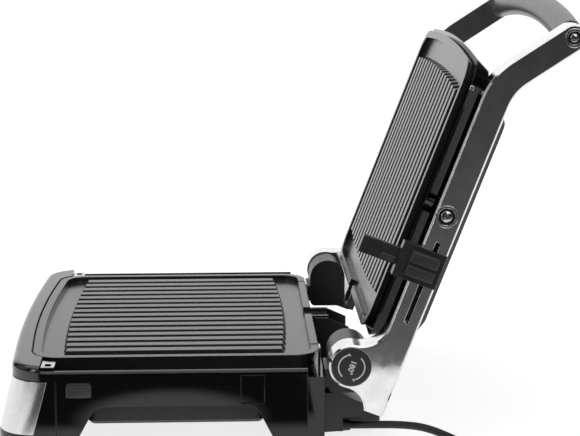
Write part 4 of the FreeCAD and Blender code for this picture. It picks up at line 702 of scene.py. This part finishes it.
@dataclass
class SlideDetail:
    """A dark strip that paints shade on the floor of the slide's slot, two bands on its thumb piece, a rib
    on its finger.

    Attributes:
        hinge: the hinge that the arms turn on.
        floor: the slot's floor from the middle of the grill.
        strip: thickness of the strip of painted shade.
        slot: where the slot begins and ends along the arm.
        middle: the slot's height on the shut arm.
        half_width: half the strip's width.
        thumb_face: outer face of the thumb piece.
        bands: where each band begins and ends along the arm.
        band_rise: where the bands begin and end across the arm.
        band_height: how far the bands stand out, which is twice the rib's height.
        finger_face: outer face of the finger.
        rib: where the rib begins and ends along the arm.
        rib_rise: where the rib begins and ends across the arm.
        soft: rounding of the bands' and the rib's edges.
    """

    hinge: Hinge
    floor: float = 177.0
    strip: float = 0.2
    slot: Pair = (50.7, 118.0)
    middle: float = 27.6
    half_width: float = 1.9
    thumb_face: float = 190.0
    bands: tuple[Pair, ...] = ((87.5, 96.0), (98.6, 107.5))
    band_rise: Pair = (10.2, 33.5)
    band_height: float = 1.5
    finger_face: float = 183.0
    rib: Pair = (92.5, 97.0)
    rib_rise: Pair = (-12.0, 1.4)
    soft: float = 0.7

    def lay_slot_shade(self) -> Object:
        """Lays a dark strip on the slot's floor, as painted shade in the slot.

        Returns:
            The strip of painted shade.
        """
        mesh = bmesh.new()
        # Painted shade: a thin black strip on the slot's floor stands in for the slot's shadow
        low = Vector((self.floor, -self.slot[1], self.middle - self.half_width))
        high = Vector((self.floor + self.strip, -self.slot[0], self.middle + self.half_width))
        add_bar(mesh, low, high)
        place = self.hinge.lid_place()
        return new_piece(mesh, "slide_slot_painted_shade", place, Finishes.SOFT_PVC, "arms")

    def raise_bands(self) -> Object:
        """Raises the bands and the rib, with soft edges.

        Returns:
            The bands with the rib.
        """
        mesh = bmesh.new()
        rows = [(self.thumb_face, self.band_height, band, self.band_rise) for band in self.bands]
        rows.append((self.finger_face, self.band_height / 2, self.rib, self.rib_rise))
        for face, height, (start, end), (bottom, top) in rows:
            low = Vector((face - self.band_height, -end, bottom))
            add_bar(mesh, low, Vector((face + height, -start, top)))
        soften(mesh, mesh.edges[:], self.soft)
        place = self.hinge.lid_place()
        # The bands are a lighter grey than the slide: partly their own tone, partly a painted highlight for
        # the light their raised faces catch
        finish = Finishes.MID_GREY_ACETAL
        return new_piece(mesh, "slide_grip_bands", place, finish, "height_slide")

    def build(self) -> list[Object]:
        """Lays the strip of painted shade and raises the bands."""
        return [self.lay_slot_shade(), self.raise_bands()]


@dataclass
class LidCatches:
    """A small spring catch on each side of the lid, which holds the upper plate.

    Attributes:
        hinge: the hinge that the lid turns on.
        low: the right catch's nearest corner: from the middle, ahead of the hinge, and above it.
        high: its opposite corner.
        soft: rounding of its edges.
    """

    hinge: Hinge
    low: Triple = (152.0, 240.0, 9.2)
    high: Triple = (156.6, 244.0, 12.6)
    soft: float = 0.8

    def build(self) -> list[Object]:
        """Sets the two catches.

        Returns:
            The catches.
        """
        mesh = bmesh.new()
        low = Vector((self.low[0], -self.high[1], self.low[2]))
        add_bar(mesh, low, Vector((self.high[0], -self.low[1], self.high[2])))
        soften(mesh, mesh.edges[:], self.soft)
        bmesh.ops.mirror(mesh, geom=[*mesh.verts, *mesh.edges, *mesh.faces], axis="X", merge_dist=-1)
        place = self.hinge.lid_place()
        return [new_piece(mesh, "lid_plate_catches", place, Finishes.PLATED_STEEL, "lid")]


@dataclass
class FrontControls:
    """The print round the thermostat dial, its pointer, and the pad on the release button.

    Attributes:
        hinge: the hinge that the base's measures start from.
        crown: the dial's distance ahead of the hinge.
        drop: its depth below the hinge.
        lean: which way the panel faces, ahead and up.
        dial_proud: how far the dial's face stands off the panel.
        dial_radius: radius of the dial.
        scale_start: where the scale begins, in degrees.
        scale_sweep: how far round it runs, in degrees.
        scale_gap: from the dial's edge to the dots.
        dot_count: number of dots.
        dot_radius: radius of the first dot, which is the smallest.
        dot_height: thickness of the dots.
        dot_sink: how much of that lies in the panel.
        pointer_turn: where the pointer stands at rest, in degrees.
        pointer_half: half its width.
        pointer_reach: where it begins and ends, as shares of the dial's radius.
        pointer_rise: its underside and its top from the dial's face.
        button: the middle of the release button's outer face.
        pad_low: low corner of the button's pad from there.
        pad_high: its high corner.
        soft: rounding of the pad's edges.
        line_drop: depth of the middle line below the middle of the face.
        line_pitch: spacing of the lines.
        line_half: half a line's thickness, length and width.
    """

    hinge: Hinge
    crown: float = 287.377
    drop: float = 35.0
    lean: Pair = (55.5, 14.0)
    dial_proud: float = 1.5
    dial_radius: float = 16.0
    scale_start: float = 225.0
    scale_sweep: float = 270.0
    scale_gap: float = 4.0
    dot_count: int = 11
    dot_radius: float = 0.7
    dot_height: float = 0.3
    dot_sink: float = 0.2
    pointer_turn: float = 135.0
    pointer_half: float = 0.7
    pointer_reach: Pair = (0.55, 0.88)
    pointer_rise: Pair = (-0.05, 0.1)
    button: Triple = (176.5, -220.25, -19.65)
    pad_low: Triple = (-0.9, -9.9, -5.8)
    pad_high: Triple = (0.9, 9.9, 3.4)
    soft: float = 0.7
    line_drop: float = 1.2
    line_pitch: float = 2.2
    line_half: Triple = (0.3, 4.5, 0.4)

    def panel_place(self, out: float) -> Matrix:
        """Gives the place of a drawing on the front panel, about the dial's middle.

        Args:
            out: how far it stands off the panel.

        Returns:
            The matrix from the drawing into the row frame.
        """
        normal = Vector((0, -self.lean[0], self.lean[1])).normalized()
        origin = Vector((0, -self.crown, -self.drop)) + normal * out
        return self.hinge.base_place() @ facing(Vector((1, 0, 0)), normal, origin)

    def print_scale(self) -> Object:
        """Prints the dots round the dial, each a little larger than the one before.

        Returns:
            The dots.
        """
        mesh = bmesh.new()
        for n in range(self.dot_count):
            angle = math.radians(self.scale_start - self.scale_sweep * n / (self.dot_count - 1))
            spot = Vector((math.cos(angle), math.sin(angle), 0)) * (self.dial_radius + self.scale_gap)
            size = self.dot_radius * (1 + n / self.dot_count)
            bmesh.ops.create_circle(
                mesh, cap_ends=True, segments=20, radius=size, matrix=Matrix.Translation(spot)
            )
        raise_faces(mesh, self.dot_height)
        place = self.panel_place(-self.dot_sink)
        return new_piece(mesh, "dial_scale", place, Finishes.DARK_PRINT, "base")

    def print_pointer(self) -> Object:
        """Prints the line on the dial that points at the scale.

        Returns:
            The line.
        """
        mesh = bmesh.new()
        start, end = (share * self.dial_radius for share in self.pointer_reach)
        bottom, top = self.pointer_rise
        add_bar(mesh, Vector((-self.pointer_half, start, bottom)), Vector((self.pointer_half, end, top)))
        turn = Matrix.Rotation(math.radians(self.pointer_turn), 4, "Z")
        place = self.panel_place(self.dial_proud) @ turn
        return new_piece(mesh, "dial_pointer", place, Finishes.WHITE_PRINT, "thermostat_knob")

    def raise_pad(self) -> Object:
        """Sets a raised pad on the release button, with three lines on it.

        Returns:
            The pad.
        """
        face = Vector(self.button)
        mesh = bmesh.new()
        add_bar(mesh, face + Vector(self.pad_low), face + Vector(self.pad_high))
        soften(mesh, mesh.edges[:], self.soft)
        reach = Vector(self.line_half)
        for n in (-1, 0, 1):
            middle = face + Vector((self.pad_high[0], 0, self.line_pitch * n - self.line_drop))
            add_bar(mesh, middle - reach, middle + reach)
        place = self.hinge.base_place()
        finish = Finishes.MID_GREY_ACETAL
        return new_piece(mesh, "release_button_pad", place, finish, "lower_release_button")

    def build(self) -> list[Object]:
        """Prints the dots and the pointer, and sets the pad on the button."""
        return [self.print_scale(), self.print_pointer(), self.raise_pad()]


@dataclass
class IndicatorLamps:
    """The two lamps beside the dial: red for power, green for ready.

    Attributes:
        node: the plain lamps that these stand for.
        merge: distance within which the copy's corners are joined.
    """

    node: str = "indicator_lamps"
    merge: float = 0.001 * MM

    def build(self) -> list[Object]:
        """Makes a two-coloured copy in place of the plain lamps.

        Returns:
            The lamps.
        """
        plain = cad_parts[self.node]
        mesh = bmesh.new()
        mesh.from_mesh(plain.data)
        bmesh.ops.remove_doubles(mesh, verts=mesh.verts, dist=self.merge)
        lamps = new_piece(mesh, "lamp_lenses", plain.matrix_world, Finishes.RED_LENS, "base")
        lamps.data.materials.append(Finishes.GREEN_LENS.material())
        for face in lamps.data.polygons:
            face.material_index = int(face.center.x > 0)
        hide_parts(self.node)
        return [lamps]


@dataclass
class MainsLead:
    """The lead: out of the back, down to the table, and wound into a tied coil beside the plug.

    Attributes:
        hinge: the hinge that the route's measures start from.
        diameter: thickness of the lead.
        route: the free stretch, from its exit to the coil.
        coil_radius: radius of the outermost turn.
        coil_pitch: distance between turns, and between the two layers.
        coil_turns: number of turns in both layers.
        climb_turns: share of a turn in which it climbs to the second layer.
        points_per_turn: control points in each turn.
        tail_run: distance from the coil to the plug.
        tail_share: where on that stretch the lead bends up, as a share of it.
        tail_rise: its height above the coil's last turn there, and inside the plug.
    """

    hinge: Hinge
    diameter: float = 6.5
    route: tuple[Triple, ...] = (
        (147.0, 2.0, -61.0), (147.0, 23.5, -61.0), (143.5, 45.0, -62.5),
        (140.5, 65.5, -66.0), (146.0, 85.0, -72.5), (160.5, 100.0, -76.4),
        (181.0, 107.0, -76.4), (203.0, 108.0, -75.7), (225.0, 108.0, -75.2),
    )
    coil_radius: float = 43.0
    coil_pitch: float = 7.4
    coil_turns: float = 3.25
    climb_turns: float = 0.5
    points_per_turn: int = 16
    tail_run: float = 19.5
    tail_share: float = 0.6
    tail_rise: Pair = (0.4, 3.2)

    def coil_points(self) -> list[Vector]:
        """Gives the control points of both layers, set out a little so that the curve keeps its radius.

        Returns:
            Points about the hinge axis, in millimetres.
        """
        start = Vector(self.route[-1])
        centre = start + Vector((self.diameter, self.coil_radius, 0))
        spread = 1 / math.cos(math.pi / self.points_per_turn)
        points = []
        count = round(self.coil_turns * self.points_per_turn)
        for n in range(count + 1):
            turns = self.coil_turns * n / count
            radius = (self.coil_radius - self.coil_pitch * min(turns, self.coil_turns - turns)) * spread
            # An S-shaped climb to the second layer, half done at the middle of the coil
            climb = min(max((turns - self.coil_turns / 2) / self.climb_turns + 0.5, 0.0), 1.0)
            rise = self.coil_pitch * (3 - 2 * climb) * climb**2
            angle = 2 * math.pi * turns - math.pi / 2
            points.append(centre + Vector((radius * math.cos(angle), radius * math.sin(angle), rise)))
        return points

    def build(self) -> list[Object]:
        """Makes the lead as one smooth curve in place of its solids.

        Returns:
            The curve.
        """
        place = self.hinge.base_place()
        points = [Vector(p) for p in self.route] + self.coil_points()
        last = points[-1]
        points.append(last + Vector((0, self.tail_run * self.tail_share, self.tail_rise[0])))
        points.append(last + Vector((0, self.tail_run + self.diameter, self.tail_rise[1])))
        curve = bpy.data.curves.new("mains_lead", "CURVE")
        curve.dimensions = "3D"
        curve.bevel_depth = self.diameter / 2 * MM
        curve.bevel_resolution = 5
        curve.use_fill_caps = True
        curve.resolution_u = 8
        spline = curve.splines.new("NURBS")
        spline.points.add(len(points) - 1)
        for spot, point in zip(spline.points, points):
            spot.co = (*(place @ point), 1.0)
        spline.order_u = 3
        spline.use_endpoint_u = True
        lead = bpy.data.objects.new("mains_lead", curve)
        bpy.context.scene.collection.objects.link(lead)
        dress(lead, Finishes.SOFT_PVC)
        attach(lead, "base")
        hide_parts("power_cord", "cord_coil")
        return [lead]


@dataclass(frozen=True)
class SoftBox:
    """A soft rectangular light.

    Attributes:
        name: its name.
        place: where it hangs.
        target: the point that it faces.
        size: its width and height.
        watts: its power.
    """

    name: str
    place: Triple
    target: Triple
    size: Pair
    watts: float

    def hang(self) -> None:
        """Hangs the light."""
        data = bpy.data.lights.new(self.name, "AREA")
        data.shape = "RECTANGLE"
        data.size, data.size_y = self.size
        data.energy = self.watts
        light = bpy.data.objects.new(self.name, data)
        light.location = self.place
        light.rotation_euler = (Vector(self.target) - Vector(self.place)).to_track_quat("-Z", "Y").to_euler()
        bpy.context.scene.collection.objects.link(light)


@dataclass
class Studio:
    """A white table and backdrop, soft lights, and the photograph's camera, in metres.

    Attributes:
        table_edge: the table's edge on the camera's side.
        table_back: where the paper begins to bend up behind the grill.
        half_length: half the paper's width.
        bend: points of the bend, from where it begins: along the table, and up.
        shadow_reach: distances from the grill between which its shadow fades out.
        shadow_level: the paper's own light inside the nearer one.
        card_sides: sides of a dark card beside the grill: low x, high x, low y and high y.
        card_height: the card's height above the table.
        card_spot: a clear spot in the card: the place of its middle, and its radius.
        card_fade: how far the card takes to fade in.
        room_slope: slopes of a line of sight, between which the room darkens upwards.
        room_level: the room's light at those slopes.
        camera_place: where the photograph was taken from.
        yaw: how far the camera turns towards the back of the grill, in degrees.
        pitch: how far it looks down, in degrees.
        lens: its focal length in millimetres.
        sensor: its sensor's width in millimetres.
        boxes: the soft lights.
    """

    table_edge: float = 0.45
    table_back: float = -2.2
    half_length: float = 2.6
    bend: tuple[Pair, ...] = ((0.0, 0.0), (-0.5, 0.15), (-0.7, 0.6), (-0.7, 3.2))
    shadow_reach: Pair = (0.45, 1.1)
    shadow_level: float = 0.8
    card_sides: tuple[float, float, float, float] = (0.24, 0.449, -0.32, 0.03)
    card_height: float = 0.001
    card_spot: Triple = (0.285, -0.097, 0.058)
    card_fade: float = 0.035
    room_slope: Pair = (-0.3, -0.05)
    room_level: Pair = (0.133, 0.03)
    camera_place: Triple = (1.4998, -0.0505, 0.4695)
    yaw: float = 2.344
    pitch: float = 11.44
    lens: float = 105.5
    sensor: float = 36.0
    boxes: tuple[SoftBox, ...] = (
        SoftBox("top_box", (0.1, -0.1, 1.7), (0, 0, 0.1), (3.0, 2.2), 26),
        SoftBox("front_strip", (1.35, -1.5, 0.8), (0, -0.1, 0.1), (0.45, 1.4), 6),
        SoftBox("front_fill", (-0.2, -2.6, 1.3), (0, 0, 0.15), (2.2, 1.6), 5),
        SoftBox("side_box", (1.9, 0.9, 1.3), (0, 0, 0.15), (1.2, 1.2), 8),
    )

    def camera(self) -> None:
        """Sets the camera where the photograph was taken from."""
        data = bpy.data.cameras.new("camera")
        data.lens = self.lens
        data.sensor_width = self.sensor
        data.clip_end = 20.0
        camera = bpy.data.objects.new("camera", data)
        camera.location = self.camera_place
        yaw, pitch = math.radians(self.yaw), math.radians(self.pitch)
        level = math.cos(pitch)
        ahead = Vector((-level * math.cos(yaw), level * math.sin(yaw), -math.sin(pitch)))
        camera.rotation_euler = ahead.to_track_quat("-Z", "Y").to_euler()
        bpy.context.scene.collection.objects.link(camera)
        bpy.context.scene.camera = camera

    def white(self) -> Material:
        """Makes a matt white that reads as white from its front, with a faint shadow near the grill.

        Returns:
            The material.
        """
        made = bpy.data.materials.new("white_paper_sweep")
        tree = empty_tree(made)
        path = add_node(tree, "ShaderNodeLightPath")
        seen = path.outputs["Is Camera Ray"]
        for ray in ("Is Glossy Ray", "Is Transmission Ray"):
            either = {0: seen, 1: path.outputs[ray]}
            seen = add_node(tree, "ShaderNodeMath", {"operation": "MAXIMUM"}, either).outputs["Value"]
        place = add_node(tree, "ShaderNodeTexCoord").outputs["Object"]
        away = add_node(tree, "ShaderNodeVectorMath", {"operation": "LENGTH"}, {0: place})
        span = (away.outputs["Value"], *self.shadow_reach, self.shadow_level, 1.0)
        level = add_node(tree, "ShaderNodeMapRange", inputs=dict(zip(SPAN_SOCKETS, span)))
        paper = add_node(tree, "ShaderNodeBsdfDiffuse", inputs={"Color": linear("#e9e9e9")})
        faint = add_node(tree, "ShaderNodeBsdfDiffuse", inputs={"Color": linear("#bcbcbc")})
        white = {"Color": WHITE, "Strength": level.outputs["Result"]}
        glow = add_node(tree, "ShaderNodeEmission", inputs=white)
        both = {0: faint.outputs["BSDF"], 1: glow.outputs["Emission"]}
        lit = add_node(tree, "ShaderNodeAddShader", inputs=both)
        parts = {0: seen, 1: paper.outputs["BSDF"], 2: lit.outputs["Shader"]}
        front = add_node(tree, "ShaderNodeMixShader", inputs=parts)
        side = add_node(tree, "ShaderNodeNewGeometry").outputs["Backfacing"]
        clear = add_node(tree, "ShaderNodeBsdfTransparent")
        parts = {0: side, 1: front.outputs["Shader"], 2: clear.outputs["BSDF"]}
        blend = add_node(tree, "ShaderNodeMixShader", inputs=parts)
        add_node(tree, "ShaderNodeOutputMaterial", inputs={"Surface": blend.outputs["Shader"]})
        return made

    def sweep(self) -> None:
        """Lays a sheet of paper: the table top, bent up behind into a backdrop."""
        mesh = bmesh.new()
        front = [mesh.verts.new((self.table_edge, y, 0)) for y in (-self.half_length, self.half_length)]
        edge = mesh.edges.new(front)
        for run, rise in self.bend:
            grown = bmesh.ops.extrude_edge_only(mesh, edges=[edge])["geom"]
            for vert in pick(grown, BMVert):
                vert.co.x, vert.co.z = self.table_back + run, rise
            edge = pick(grown, BMEdge)[0]
        bmesh.ops.recalc_face_normals(mesh, faces=mesh.faces)
        if mesh.faces[0].normal.z < 0:
            bmesh.ops.reverse_faces(mesh, faces=mesh.faces)
        sweep = mesh_object(mesh, "sweep")
        sweep.data.materials.append(self.white())

    def card(self) -> Material:
        """Makes a dark grey that fades out towards the grill and round a clear spot.

        Returns:
            The material.
        """
        made = bpy.data.materials.new("black_card")
        tree = empty_tree(made)
        place = add_node(tree, "ShaderNodeTexCoord").outputs["Object"]
        across = add_node(tree, "ShaderNodeSeparateXYZ", inputs={0: place}).outputs["X"]
        spot_x, spot_y, radius = self.card_spot
        middle = (spot_x, spot_y, 0)
        away = add_node(tree, "ShaderNodeVectorMath", {"operation": "DISTANCE"}, {0: place, 1: middle})
        shares = {}
        for n, (value, start) in enumerate(((across, self.card_sides[0]), (away.outputs["Value"], radius))):
            span = dict(zip(SPAN_SOCKETS, (value, start, start + self.card_fade)))
            edge = add_node(tree, "ShaderNodeMapRange", {"interpolation_type": "SMOOTHSTEP"}, span)
            shares[n] = edge.outputs["Result"]
        share = add_node(tree, "ShaderNodeMath", {"operation": "MULTIPLY"}, shares)
        clear = add_node(tree, "ShaderNodeBsdfTransparent")
        dark = add_node(tree, "ShaderNodeBsdfDiffuse", inputs={"Color": linear("#484848")})
        parts = {0: share.outputs["Value"], 1: clear.outputs["BSDF"], 2: dark.outputs["BSDF"]}
        blend = add_node(tree, "ShaderNodeMixShader", inputs=parts)
        add_node(tree, "ShaderNodeOutputMaterial", inputs={"Surface": blend.outputs["Shader"]})
        return made

    def lay_card(self) -> None:
        """Lays a dark card on the table beside the grill, seen only as the gloss mirrors it."""
        low_x, high_x, low_y, high_y = self.card_sides
        mesh = bmesh.new()
        size = Matrix.Diagonal((high_x - low_x, high_y - low_y, 1.0, 1.0))
        middle = Matrix.Translation(((low_x + high_x) / 2, (low_y + high_y) / 2, self.card_height))
        bmesh.ops.create_grid(mesh, x_segments=1, y_segments=1, size=0.5, matrix=middle @ size)
        card = mesh_object(mesh, "black_card")
        card.data.materials.append(self.card())
        card.visible_camera = False
        card.visible_diffuse = False
        card.visible_shadow = False

    def world(self) -> None:
        """Makes the room: white where the camera looks, else dim, and a little lighter towards the floor."""
        world = bpy.data.worlds.new("studio")
        tree = empty_tree(world)
        way = add_node(tree, "ShaderNodeTexCoord").outputs["Generated"]
        rise = add_node(tree, "ShaderNodeSeparateXYZ", inputs={0: way}).outputs["Z"]
        span = (rise, *self.room_slope, *self.room_level)
        level = add_node(tree, "ShaderNodeMapRange", inputs=dict(zip(SPAN_SOCKETS, span)))
        dim = {"Color": WHITE, "Strength": level.outputs["Result"]}
        room = add_node(tree, "ShaderNodeBackground", inputs=dim)
        white = add_node(tree, "ShaderNodeBackground", inputs={"Color": WHITE, "Strength": 1.0})
        seen = add_node(tree, "ShaderNodeLightPath").outputs["Is Camera Ray"]
        parts = {0: seen, 1: room.outputs["Background"], 2: white.outputs["Background"]}
        blend = add_node(tree, "ShaderNodeMixShader", inputs=parts)
        add_node(tree, "ShaderNodeOutputWorld", inputs={"Surface": blend.outputs["Shader"]})
        bpy.context.scene.world = world

    def build(self) -> None:
        """Sets the camera, the table, the card, the lights and the world."""
        self.camera()
        self.sweep()
        self.lay_card()
        for box in self.boxes:
            box.hang()
        self.world()
        bpy.context.scene.view_settings.view_transform = "Standard"


def main() -> None:
    """Builds the scene piece by piece and reports each one."""
    logging.basicConfig(level=logging.INFO, format="%(name)s: %(message)s")
    Studio().build()
    LOG.info("studio set")
    for name, finish in NODE_FINISH.items():
        dress(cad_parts[name], finish)
        LOG.info("%s in %s", name, finish.name)
    hinge = Hinge()
    fittings = (
        HingeButtonMarks(hinge),
        SocketBolts(
            hinge, "lid_pivot_bolts", "lid", ahead=141.5, above=26.0, shank=4.0, head=4.9, inner=134.75,
            recess=9.0, opening=6.9,
        ),
        SocketBolts(
            hinge, "handle_bolts", "arms", ahead=308.5, above=66.4, shank=3.0, head=3.7, inner=138.0,
            recess=7.4, opening=5.3, lift=0.0,
        ),
        SlideDetail(hinge),
        LidCatches(hinge),
        FrontControls(hinge),
        IndicatorLamps(),
        MainsLead(hinge),
    )
    for fitting in fittings:
        for piece in fitting.build():
            LOG.info("%s added", piece.name)


if __name__ == "__main__":
    main()
